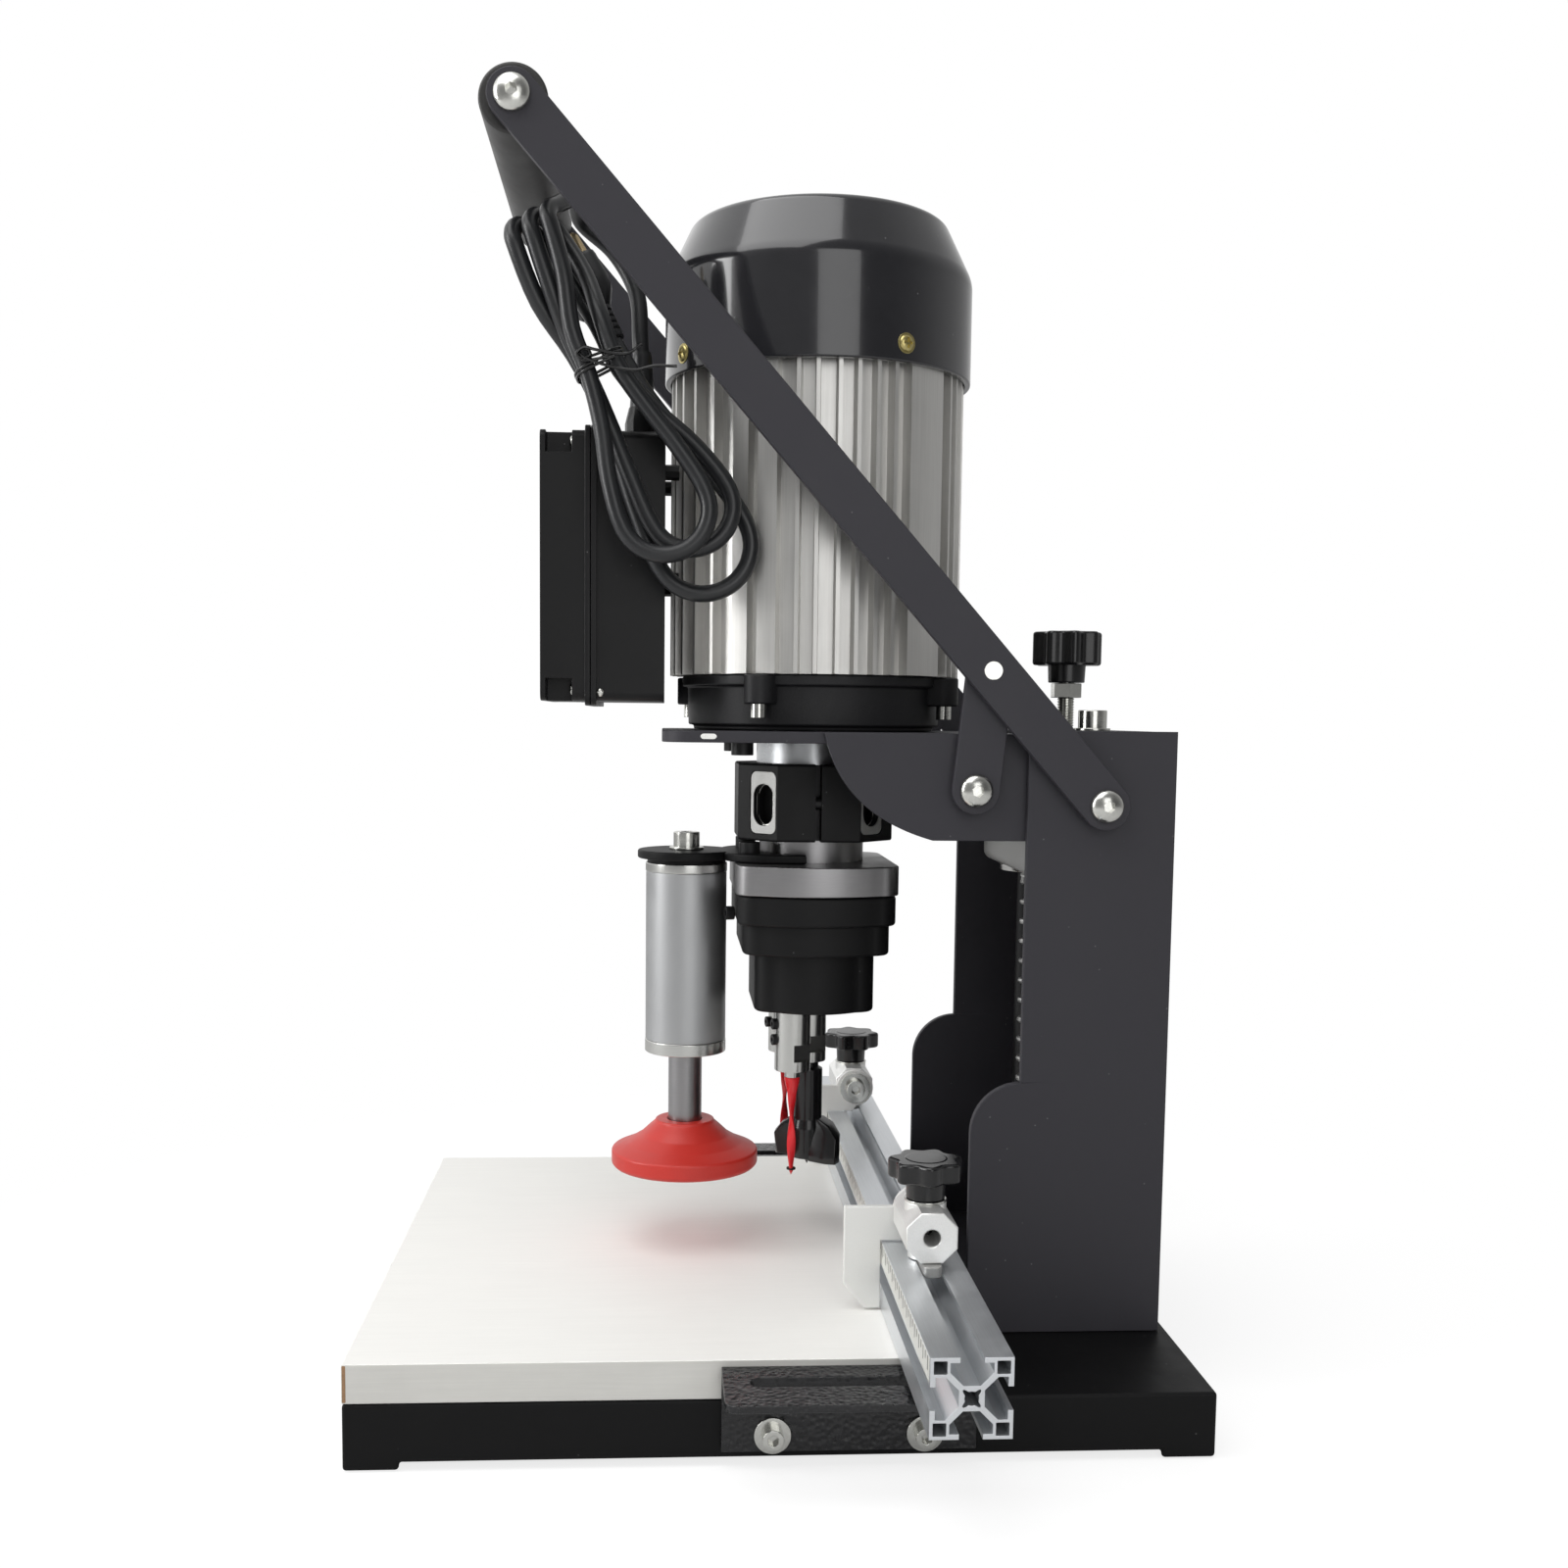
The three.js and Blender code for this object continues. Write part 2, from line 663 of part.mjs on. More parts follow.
// Machined tube that hangs from the flange and carries the head's clamp collar
function motorSpigot() {
  const rimRadius = 31;
  const rimThick = 2.6;
  const wall = 5;
  const seat = flangeBottom + flangeFloor + gap;
  add('motor_spigot', turned([
    [spigotRadius - wall, collarMiddle],
    [spigotRadius, collarMiddle],
    [spigotRadius, seat],
    [rimRadius, seat],
    [rimRadius, seat + rimThick],
    [spigotRadius - wall, seat + rimThick],
    [spigotRadius - wall, collarMiddle],
  ]).translate(0, axisY, 0), aluminium);
}

// Shell with upright ribs and smooth lands, which repeat after half a turn; degrees from +X towards +Y
function motorShell() {
  const finTurns = [-84, -76, -67.5, -58, -47.5, -11.9, -4.8, 3.3, 10.4, 17.9, 25.2, 57, 63, 71, 79, 87];
  const landTurns = [[-37.5, -31], [-27, -19.6], [32, 50.1]];
  const finHalf = 0.9;
  const finRootHalf = 1.45;
  const fins = finTurns.map((turn) => ({ from: turn, rib: (put) => {
    put(shellRoot, turn * degree - finRootHalf / shellRoot);
    put(shellRadius, turn * degree - finHalf / shellRadius);
    put(shellRadius, turn * degree + finHalf / shellRadius);
    put(shellRoot, turn * degree + finRootHalf / shellRoot);
  } }));
  const lands = landTurns.map(([from, to]) => ({ from, rib: (put) => {
    put(shellRoot, from * degree);
    [0, 1, 2].forEach((k) => put(shellRadius, (from + (k / 2) * (to - from)) * degree));
    put(shellRoot, to * degree);
  } }));
  const ribs = [...fins, ...lands].sort((a, b) => a.from - b.from);
  const ring = [0, Math.PI].flatMap((half) => {
    const points = [];
    ribs.forEach(({ rib }) => rib((radius, turn) =>
      points.push([radius * Math.cos(turn + half), radius * Math.sin(turn + half)])));
    return points;
  });
  const shape = outline(ring);
  const hole = new THREE.Path();
  hole.absarc(0, 0, shellBore, 0, Math.PI * 2, true);
  shape.holes.push(hole);
  add('motor_shell', plate(shape, shellBottom, shellTop, 14).translate(0, axisY, 0), aluminium);
}

// Stator, rotor with its shaft, upper end bell and the fan above it
function motorInside() {
  const stackInset = 15.8;
  const statorInner = 33;
  const airGap = 0.6;
  const windingReach = 8;
  const fanRise = 3;
  const fanReach = 54;
  const fanDiscInset = 4;
  const fanDiscThick = 2.5;
  const vaneThick = 2;
  const vanes = 6;
  const hubRadius = 16;
  const fanHeight = 29;
  const low = shellBottom + stackInset;
  const high = shellTop - stackInset;
  const outer = shellBore - gap;
  add('motor_stator', turned([
    [statorInner, low],
    [outer - windingReach, low - windingReach],
    [outer, low],
    [outer, high],
    [outer - windingReach, high + windingReach],
    [statorInner, high],
    [statorInner, low],
  ], 28).translate(0, axisY, 0), copper);

  const bellTop = shellTop + gap + bellThick;
  const fanBottom = bellTop + fanRise;
  const fanTop = fanBottom + fanHeight;
  const rotorRadius = statorInner - airGap;
  add('motor_rotor', turned([
    [0, collarBottom + gap],
    [motorShaftRadius, collarBottom + gap],
    [motorShaftRadius, low],
    [rotorRadius, low],
    [rotorRadius, high],
    [motorShaftRadius, high],
    [motorShaftRadius, fanTop],
    [0, fanTop],
  ]).translate(0, axisY, 0), steel);

  const bore = motorShaftRadius + gap;
  add('motor_end_bell', turned([
    [bore, shellTop + gap],
    [shellRoot, shellTop + gap],
    [shellRoot, bellTop],
    [bore, bellTop],
    [bore, shellTop + gap],
  ]).translate(0, axisY, 0), castBlack);

  const hub = bar(hubRadius, fanBottom, fanTop, 0, 0, 16);
  const disc = bar(fanReach - fanDiscInset, fanBottom, fanBottom + fanDiscThick, 0, 0, 20);
  const blades = [...Array(vanes).keys()].map((k) =>
    block(hubRadius - overrun, -vaneThick / 2, fanBottom, fanReach, vaneThick / 2, fanTop)
      .rotateZ((2 * Math.PI * k) / vanes));
  const eye = bar(bore, fanBottom - overrun, fanTop + overrun, 0, 0, 20);
  add('cooling_fan', cut(join(hub, disc, ...blades), eye).translate(0, axisY, 0), plastic);
}

function fanCover() {
  const wall = coverRadius - shellRadius - gap;
  const topWall = 2.4;
  const edge = 1.6;
  const slots = 12;
  const slotInner = 18;
  const slotOuter = 48;
  const slotHalf = 1.7;
  const body = turned([
    [coverRadius - wall, coverBottom],
    [coverRadius, coverBottom],
    [coverRadius, coverShoulder - edge],
    [coverRadius - edge / 2, coverShoulder + edge / 2],
    [coverTopRadius + edge, coverTop - edge],
    [coverTopRadius - edge, coverTop],
    [0, coverTop],
    [0, coverTop - topWall],
    [coverTopRadius - wall, coverTop - topWall],
    [coverRadius - wall, coverShoulder - wall / 2],
    [coverRadius - wall, coverBottom],
  ], 36);
  const tools = [...Array(slots).keys()].map((k) =>
    block(slotInner, -slotHalf, coverTop - topWall - overrun, slotOuter, slotHalf, coverTop + overrun)
      .rotateZ((2 * Math.PI * k) / slots));
  add('fan_cover', cut(body, ...tools).translate(0, axisY, 0), gloss);
}

// Control box on standoffs at the motor's front: body and lid that meet at a seam flange
const spoutX = 30;
const spoutInset = 10.5; // from the box's back to the cord's spout
const spoutHeight = 12;
const spoutY = boxBack - spoutInset;
const boxMiddle = (boxBottom + boxTop) / 2;

// The box's outline, grown or shrunk by one length all round
const boxFace = (grow, corner) =>
  roundedRect(-boxHalf - grow, -boxHeight / 2 - grow, boxHalf + grow, boxHeight / 2 + grow, corner);
const boxSlab = (grow, corner, y0, y1) =>
  frontPlate(boxFace(grow, corner), y0, y1).translate(0, 0, boxMiddle);
const boxFlange = 2.4;
const boxFlangeReach = 2;

function controlBoxBody() {
  const standoffX = 26;
  const standoffZ = 24;
  const standoffRise = 19.7;
  const standoffRadius = 3.5;
  const spoutWall = 4;
  const spoutTip = 2.2;
  const spoutLowShare = 0.4;
  const shell = join(
    boxSlab(0, boxCorner, boxSeam, boxBack),
    boxSlab(boxFlangeReach, boxCorner, boxSeam, boxSeam + boxFlange),
  );
  const meet = axisY - Math.sqrt(shellRadius ** 2 - (standoffX - standoffRadius) ** 2) - gap;
  const standoffs = corners.map(([sx, sz]) =>
    depthBar(
      standoffRadius, boxBack - overrun, meet,
      sx * standoffX, boxMiddle + standoffRise + sz * standoffZ, 8,
    ));
  const spout = turned([
    [0, boxTop - overrun],
    [cordRadius + spoutWall, boxTop - overrun],
    [cordRadius + spoutWall, boxTop + spoutHeight * spoutLowShare],
    [cordRadius + spoutTip, boxTop + spoutHeight],
    [0, boxTop + spoutHeight],
  ], 12).translate(spoutX, spoutY, 0);
  const cavity = boxSlab(-boxWall, boxCorner / 2, boxSeam - overrun, boxBack - boxWall);
  const cordHole = bar(
    cordRadius + gap, boxTop - boxWall - overrun, boxTop + spoutHeight + overrun,
    spoutX, spoutY,
  );
  add('control_box_body', cut(join(shell, ...standoffs, spout), cavity, cordHole), plastic);
}

const rockerHalfX = 7;
const rockerHalfZ = 11;
const rockerRise = 68.4; // above the box's bottom
const rockerZ = boxBottom + rockerRise;

function controlBoxLid() {
  const pocketSize = 10;
  const pocketDepth = 14;
  const rear = boxSeam - gap;
  const shell = join(
    boxSlab(0, boxCorner, boxFront, rear),
    boxSlab(boxFlangeReach, boxCorner, rear - boxFlange, rear),
  );
  const cavity = boxSlab(-boxWall, boxCorner / 2, boxFront + boxWall, rear + overrun);
  // each corner holds a screw post with a pocket that opens at the lid's corner
  const cornerBlock = ([sx, sz], size, y0, y1) => block(
    sx > 0 ? boxHalf - size : -boxHalf - overrun, y0,
    sz > 0 ? boxTop - size : boxBottom - overrun,
    sx > 0 ? boxHalf + overrun : size - boxHalf, y1,
    sz > 0 ? boxTop + overrun : boxBottom + size,
  );
  const posts = corners.map((corner) => common(
    cornerBlock(corner, pocketSize + boxWall, boxFront, rear),
    boxSlab(0, boxCorner, boxFront, rear),
  ));
  const pockets = corners.map((corner) =>
    cornerBlock(corner, pocketSize, boxFront + boxWall, boxFront + pocketDepth));
  const window = block(
    -rockerHalfX - gap, boxFront - overrun, rockerZ - rockerHalfZ - 2 * gap,
    rockerHalfX + gap, boxFront + boxWall + overrun, rockerZ + rockerHalfZ + 2 * gap,
  );
  add('control_box_lid', cut(join(cut(shell, cavity), ...posts), ...pockets, window), plastic);
}

function powerSwitch() {
  const proud = 2.2;
  const sunk = 0.4;
  const depth = 9;
  const waistShare = 0.6;
  const narrowShare = 0.55;
  const waist = boxFront + depth * waistShare;
  add('power_switch', sidePlate(outline([
    [boxFront - proud, rockerZ + rockerHalfZ],
    [boxFront - sunk, rockerZ],
    [boxFront - sunk, rockerZ - rockerHalfZ],
    [waist, rockerZ - rockerHalfZ * narrowShare],
    [boxFront + depth, rockerZ],
    [waist, rockerZ + rockerHalfZ * narrowShare],
  ]), -rockerHalfX, rockerHalfX), plastic);
}

// Split collar that clamps the head's neck to the motor's spigot
function clampCollar() {
  const half = 36;
  const corner = 17;
  const edge = 3;
  const slotHalf = 1.5;
  const screwX = 32;
  const screwRadius = 3.2;
  const recessRadius = 6;
  const earHalf = 13; // half the thickness that the cross screw clamps
  const reach = half + edge;
  const body = common(
    plate(octagon(half, corner), collarBottom, collarTop),
    turned([
      [0, collarBottom],
      [half - edge / 2, collarBottom],
      [reach, collarBottom + edge],
      [reach, collarTop - edge],
      [half - edge / 2, collarTop],
      [0, collarTop],
    ]),
  );
  const bore = bar(spigotRadius + gap, collarBottom - overrun, collarTop + overrun, 0, 0, 24);
  const slot = block(0, -slotHalf, collarBottom - overrun, reach + overrun, slotHalf, collarTop + overrun);
  const screw = depthBar(screwRadius, -reach, reach, screwX, collarMiddle, 10);
  const recesses = [[-reach, -earHalf], [earHalf, reach]].map(([y0, y1]) =>
    depthBar(recessRadius, y0, y1, screwX, collarMiddle));
  add('clamp_collar', cut(body, bore, slot, screw, ...recesses).translate(0, axisY, 0), castBlack);
}

// The head's outline: straight long sides, round corners and bulged ends
function headShape(halfX, halfY) {
  const bulge = 9;
  const corner = 9;
  const sideShare = 0.15;
  const crownShare = 0.6;
  const endX = halfX - bulge;
  const sideX = endX + corner * sideShare;
  const crownX = halfX + bulge * crownShare;
  const shape = new THREE.Shape();
  shape.moveTo(corner - endX, -halfY);
  shape.lineTo(endX - corner, -halfY);
  shape.quadraticCurveTo(endX, -halfY, sideX, corner - halfY);
  shape.quadraticCurveTo(crownX, 0, sideX, halfY - corner);
  shape.quadraticCurveTo(endX, halfY, endX - corner, halfY);
  shape.lineTo(corner - endX, halfY);
  shape.quadraticCurveTo(-endX, halfY, -sideX, halfY - corner);
  shape.quadraticCurveTo(-crownX, 0, -sideX, corner - halfY);
  shape.quadraticCurveTo(-endX, -halfY, corner - endX, -halfY);
  return shape;
}

// Head plate with the neck that goes up into the clamp collar
function headPlate() {
  const neckShare = 0.4; // how far the neck fills the collar
  const neckTop = collarBottom + collarHeight * neckShare;
  const solid = join(
    plate(headShape(headHalfX, headHalfY), headPlateBottom, headPlateTop, 4),
    bar(neckRadius, headPlateTop - overrun, collarBottom + overrun, 0, 0, 24),
    bar(spigotRadius, collarBottom + gap, neckTop, 0, 0, 24),
  );
  const bore = bar(motorShaftRadius + gap, headPlateBottom - overrun, neckTop + overrun, 0, 0, 16);
  add('head_plate', cut(solid, bore).translate(0, axisY, 0), aluminium);
}

// Gear housing: three steps that narrow downwards, one cavity for the gears and three spindle bores
const spindlePlaces = [[0, 0], [screwSide, -screwAhead], [-screwSide, -screwAhead]];
const gearSpace = 2; // free space round and below the gears
const gearCentres = Math.hypot(screwSide, screwAhead);
const toothAdd = 0.9;
const toothDrop = 1.5;

function gearHousing() {
  const upperInset = 1;
  const upperHeight = 13.7;
  const middleInsetX = 4;
  const middleInsetY = 3.5;
  const middleHeight = 14;
  const lowerInsetX = 11;
  const lowerInsetY = 9.5;
  const steps = [
    [upperInset, upperInset, upperHeight],
    [middleInsetX, middleInsetY, middleHeight],
    [lowerInsetX, lowerInsetY, housingHeight],
  ];
  const cavityCorner = 14;
  const reach = gearCentres / 2 + toothAdd + gearSpace;
  let top = housingTop;
  const rings = steps.map(([insetX, insetY, height], level) => {
    const bottom = level === steps.length - 1 ? housingBottom : top - height;
    const slab = plate(headShape(headHalfX - insetX, headHalfY - insetY), bottom, top, 3);
    top = bottom + overrun / 2;
    return slab;
  });
  const cavity = plate(
    roundedRect(-screwSide - reach, -screwAhead - reach, screwSide + reach, reach, cavityCorner),
    gearBottom - gearSpace, housingTop + overrun, 4,
  );
  const bores = spindlePlaces.map(([x, y]) =>
    bar(spindleRadius + gap, housingBottom - overrun, gearBottom, x, y, 14));
  add('gear_housing', cut(join(...rings), cavity, ...bores).translate(0, axisY, 0), castBlack);
}

// Spindles: each is one turned shaft with its gear, a socket for the bit and two wrench flats
const gearTeeth = 16;

function gearShape() {
  const toothShares = [-0.24, -0.07, 0.07, 0.24]; // where a tooth's four corners lie on its pitch
  const pitch = gearCentres / 2;
  const radii = [pitch - toothDrop, pitch + toothAdd, pitch + toothAdd, pitch - toothDrop];
  const points = [];
  for (let k = 0; k < gearTeeth; k += 1) {
    toothShares.forEach((share, i) => {
      const angle = (2 * Math.PI * (k + share)) / gearTeeth;
      points.push([radii[i] * Math.cos(angle), radii[i] * Math.sin(angle)]);
    });
  }
  return outline(points);
}

function spindle(phase, topRadius, top, socketRadius) {
  const edge = 0.8;
  const neck = 6;
  const shoulder = 2.6; // from the shaft's shoulder up to the gear
  const flatLow = 5;
  const flatHigh = 13;
  const flatShare = 0.72;
  const flatTurn = 45; // degrees from +X to the first flat; the other lies opposite
  const shaft = turned([
    [0, spindleBottom],
    [spindleRadius - edge, spindleBottom],
    [spindleRadius, spindleBottom + edge],
    [spindleRadius, gearBottom - shoulder],
    [neck, gearBottom - shoulder],
    [neck, gearTop],
    [topRadius, gearTop],
    [topRadius, top],
    [0, top],
  ], 14);
  const gear = plate(gearShape(), gearBottom, gearTop).rotateZ(phase);
  const socket = bar(socketRadius, spindleBottom - overrun, shankTop + overrun, 0, 0);
  const flats = [flatTurn, flatTurn + 180].map((angle) => block(
    spindleRadius * flatShare, -spindleRadius, spindleBottom + flatLow,
    spindleRadius + overrun, spindleRadius, spindleBottom + flatHigh,
  ).rotateZ(angle * degree));
  return cut(join(shaft, gear), socket, ...flats);
}

function spindles() {
  const sideTop = gearTop + 2 * overrun;
  const sideNeck = 5;
  const cupShank = bitRadius + cupShankStep;
  add('drive_spindle', spindle(0, motorShaftRadius, collarBottom, cupShank + gap), steel, 0, axisY, 0);
  [['R', 1], ['L', -1]].forEach(([suffix, side]) => {
    const meet = Math.atan2(-screwAhead, side * screwSide);
    const toothStep = (2 * Math.PI) / gearTeeth;
    // a tooth of this gear points back into a gap between two teeth of the drive gear
    const driveTooth = ((meet % toothStep) + toothStep) % toothStep;
    const phase = meet + Math.PI - (toothStep / 2 - driveTooth);
    const piece = spindle(phase, sideNeck, sideTop, bitRadius + gap);
    add(`side_spindle_${suffix}`, piece, steel, side * screwSide, axisY - screwAhead, 0);
  });
}

// Cup bit with two swept wings on a hub, and two plain bodies for the red screw-hole bits
const cupShankStep = 1; // the cup bit's shank is this much thicker in radius

function bits() {
  const hubRadius = 7;
  const hubStep = 1;
  const hubHeight = 20;
  const wingDrop = 4;
  const spur = 3;
  const spurRadius = 1.6;
  const shoulder = 4;
  const wingHalf = 6.5;
  const wingTurn = 66;
  const wingFrontShare = 1.5;
  const wingBackShare = 0.2;
  const hubTop = bitBottom + hubHeight;
  const hub = turned([
    [0, bitBottom - spur],
    [spurRadius, bitBottom],
    [hubRadius + hubStep, bitBottom + hubStep],
    [hubRadius + hubStep, hubTop - wingDrop],
    [hubRadius, hubTop],
    [hubRadius, spindleBottom - shoulder],
    [bitRadius + cupShankStep, spindleBottom - shoulder + hubStep],
    [bitRadius + cupShankStep, shankTop],
    [0, shankTop],
  ], 16);
  const disc = turned([
    [0, bitBottom],
    [cupRadius, bitBottom],
    [cupRadius, hubTop - wingDrop],
    [hubRadius, hubTop + hubStep],
    [0, hubTop + hubStep],
  ], 28);
  const wings = [0, 180].map((angle) => block(
    0, -wingHalf * wingFrontShare, bitBottom - overrun,
    cupRadius + overrun, wingHalf * wingBackShare, hubTop + overrun,
  ).rotateZ(angle * degree));
  const head = join(hub, common(disc, join(...wings))).rotateZ(wingTurn * degree);
  add('boring_bit', head, castBlack, 0, axisY, 0);

  const point = 2.2;
  const drill = turned([
    [0, bitBottom - point],
    [bitRadius, bitBottom],
    [bitRadius, shankTop],
    [0, shankTop],
  ], 12);
  add('side_bit_R', drill, redCoat, screwSide, axisY - screwAhead, 0);
  add('side_bit_L', drill.clone(), redCoat, -screwSide, axisY - screwAhead, 0);
}

// Bow-tie bracket that holds the clamp's barrel ahead of the head's neck
function clampBracket() {
  const bracketThick = 4;
  const lobe = 19.5;
  const waist = 12;
  const waistStep = 1;
  const tailHalf = 24;
  const tailCorner = 26;
  const tailCornerReach = 8;
  const tailReach = 12;
  const waistReach = 17;
  const lobeStart = 0.78 * Math.PI;
  const lobeEnd = 2.22 * Math.PI;
  const low = headPlateTop + gap;
  const high = low + bracketThick;
  const rear = -neckRadius - gap;
  const shape = new THREE.Shape();
  shape.moveTo(-tailHalf, rear);
  shape.lineTo(-tailCorner, rear - tailCornerReach);
  shape.quadraticCurveTo(-waist, rear - tailReach, -waist - waistStep, rear - waistReach);
  shape.absarc(0, -clampAhead, lobe, lobeStart, lobeEnd);
  shape.lineTo(waist + waistStep, rear - waistReach);
  shape.quadraticCurveTo(waist, rear - tailReach, tailCorner, rear - tailCornerReach);
  shape.lineTo(tailHalf, rear);
  const hole = bar(boltRadius + gap, low - overrun, high + overrun, 0, -clampAhead);
  add('clamp_bracket', cut(plate(shape, low, high, 8), hole).translate(0, axisY, 0), blackCoat);
}

// Spring barrel, rod with its inner collar, and the pad that holds the work down
function workClamp() {
  const cap = 6;
  const capLip = 0.5;
  const bore = 14;
  const roof = 10;
  const collarThick = 8;
  const rodRise = 20;
  const barrelTop = headPlateTop;
  const floor = barrelBottom + cap;
  add('clamp_barrel', turned([
    [rodRadius + gap, barrelBottom],
    [barrelRadius, barrelBottom],
    [barrelRadius, floor],
    [barrelRadius - capLip, floor],
    [barrelRadius - capLip, barrelTop - cap],
    [barrelRadius, barrelTop - cap],
    [barrelRadius, barrelTop],
    [boltRadius + gap, barrelTop],
    [boltRadius + gap, barrelTop - roof],
    [bore, barrelTop - roof],
    [bore, floor],
    [rodRadius + gap, floor],
    [rodRadius + gap, barrelBottom],
  ]), satin, 0, clampY, 0);

  const seat = floor + gap;
  add('clamp_rod', turned([
    [0, rodEnd],
    [rodRadius, rodEnd],
    [rodRadius, seat],
    [bore - gap, seat],
    [bore - gap, seat + collarThick],
    [rodRadius, seat + collarThick],
    [rodRadius, seat + rodRise],
    [0, seat + rodRise],
  ]), steel, 0, clampY, 0);

  const rim = 7;
  const edge = 1.1;
  const skirtShare = 0.75;
  const skirtRise = 4.2;
  const hub = 14.8;
  const hubFoot = 3;
  const hubLow = 6.5;
  const hubHigh = 3.5;
  add('clamp_pad', turned([
    [0, padBottom],
    [padRadius - edge, padBottom],
    [padRadius, padBottom + edge],
    [padRadius, padBottom + rim],
    [padRadius - edge, padBottom + rim + edge],
    [padRadius * skirtShare, padBottom + rim + skirtRise],
    [hub + hubFoot, padTop - hubLow],
    [hub, padTop - hubHigh],
    [hub - edge, padTop],
    [rodRadius + gap, padTop],
    [rodRadius + gap, rodEnd - gap],
    [0, rodEnd - gap],
  ], 24), red, 0, clampY, 0);
}

// Fence: a square profile with a T-slot in each side, corner cells and a centre bore
function fenceProfile() {
  const opening = 4.3;
  const lip = 2;
  const slotHalf = 7.8;
  const slotDepth = 5.5;
  const coreHalf = 4.65;
  const coreWide = 3;
  const cellWall = 1.3;
  const cellSize = 4.8;
  const boreRadius = 2.7;
  const half = fenceSize / 2;
  const end = fenceLength / 2;
  const slotFloor = half - slotDepth;
  const side = [
    [-half, half], [-opening, half], [-opening, half - lip], [-slotHalf, half - lip], [-slotHalf, slotFloor],
    [-coreWide, coreHalf], [coreWide, coreHalf], [slotHalf, slotFloor], [slotHalf, half - lip],
    [opening, half - lip], [opening, half],
  ];
  const quarterTurns = [[1, 0], [0, 1], [-1, 0], [0, -1]];
  const points = quarterTurns.flatMap(([c, s]) => side.map(([a, b]) => [a * c + b * s, b * c - a * s]));
  const middle = half - cellWall - cellSize / 2;
  const cells = corners.map(([sy, sz]) => block(
    -end - overrun, sy * middle - cellSize / 2, sz * middle - cellSize / 2,
    end + overrun, sy * middle + cellSize / 2, sz * middle + cellSize / 2,
  ));
  const bore = crossBar(boreRadius, -end - overrun, end + overrun, 0, 0, 10);
  const solid = cut(sidePlate(outline(points), -end, end), ...cells, bore);
  add('fence_profile', solid, aluminium, 0, fenceY, fenceBottom + half);
}

// Angle brackets at the base's sides, with a long slot for the fence's bolts
function fenceBrackets() {
  const thick = 3;
  const reach = 38;
  const drop = 2.8; // from the fence's underside to the bracket
  const wallHeight = 34;
  const frontReach = 85.5; // ahead of and behind the fence's middle
  const rearReach = 16.5;
  const slotHalf = 4.3;
  const slotX = 16;
  const slotInset = 10.5;
  const corner = 5;
  const screwRadius = 2.8;
  const screwDrop = 27;
  const frontScrew = 65.2; // how far ahead of the fence's middle each screw lies
  const rearScrew = 4.3;
  const top = fenceBottom - drop;
  const y0 = fenceY - frontReach;
  const y1 = fenceY + rearReach;
  const inner = baseWidth / 2 + gap;
  const flange = cut(
    plate(roundedRect(inner - corner, y0, inner + reach, y1, corner), top - thick, top, 4),
    block(inner - 2 * corner, y0 - overrun, top - thick - overrun, inner, y1 + overrun, top + overrun),
  );
  const wall = block(inner, y0, top - wallHeight, inner + thick, y1, top - thick / 2);
  const slotShape = strap(
    inner + slotX, y0 + slotInset + slotHalf,
    inner + slotX, y1 - slotInset - slotHalf, slotHalf,
  );
  const slot = plate(slotShape, top - thick - overrun, top + overrun, 6);
  const holes = [frontScrew, rearScrew].map((ahead) =>
    crossBar(screwRadius, inner - overrun, inner + thick + overrun, fenceY - ahead, top - screwDrop, 10));
  addPair('fence_bracket', cut(join(flange, wall), slot, ...holes), blackCoat);
}

// A star knob's outline: round lobes with hollows between them
function starShape(radius, depth, lobes) {
  const stepsPerLobe = 4;
  const steps = lobes * stepsPerLobe;
  const points = [];
  for (let i = 0; i < steps; i += 1) {
    const turn = (2 * Math.PI * i) / steps;
    const r = radius - (depth * (1 - Math.cos(lobes * turn))) / 2;
    points.push([r * Math.cos(turn), r * Math.sin(turn)]);
  }
  return outline(points);
}

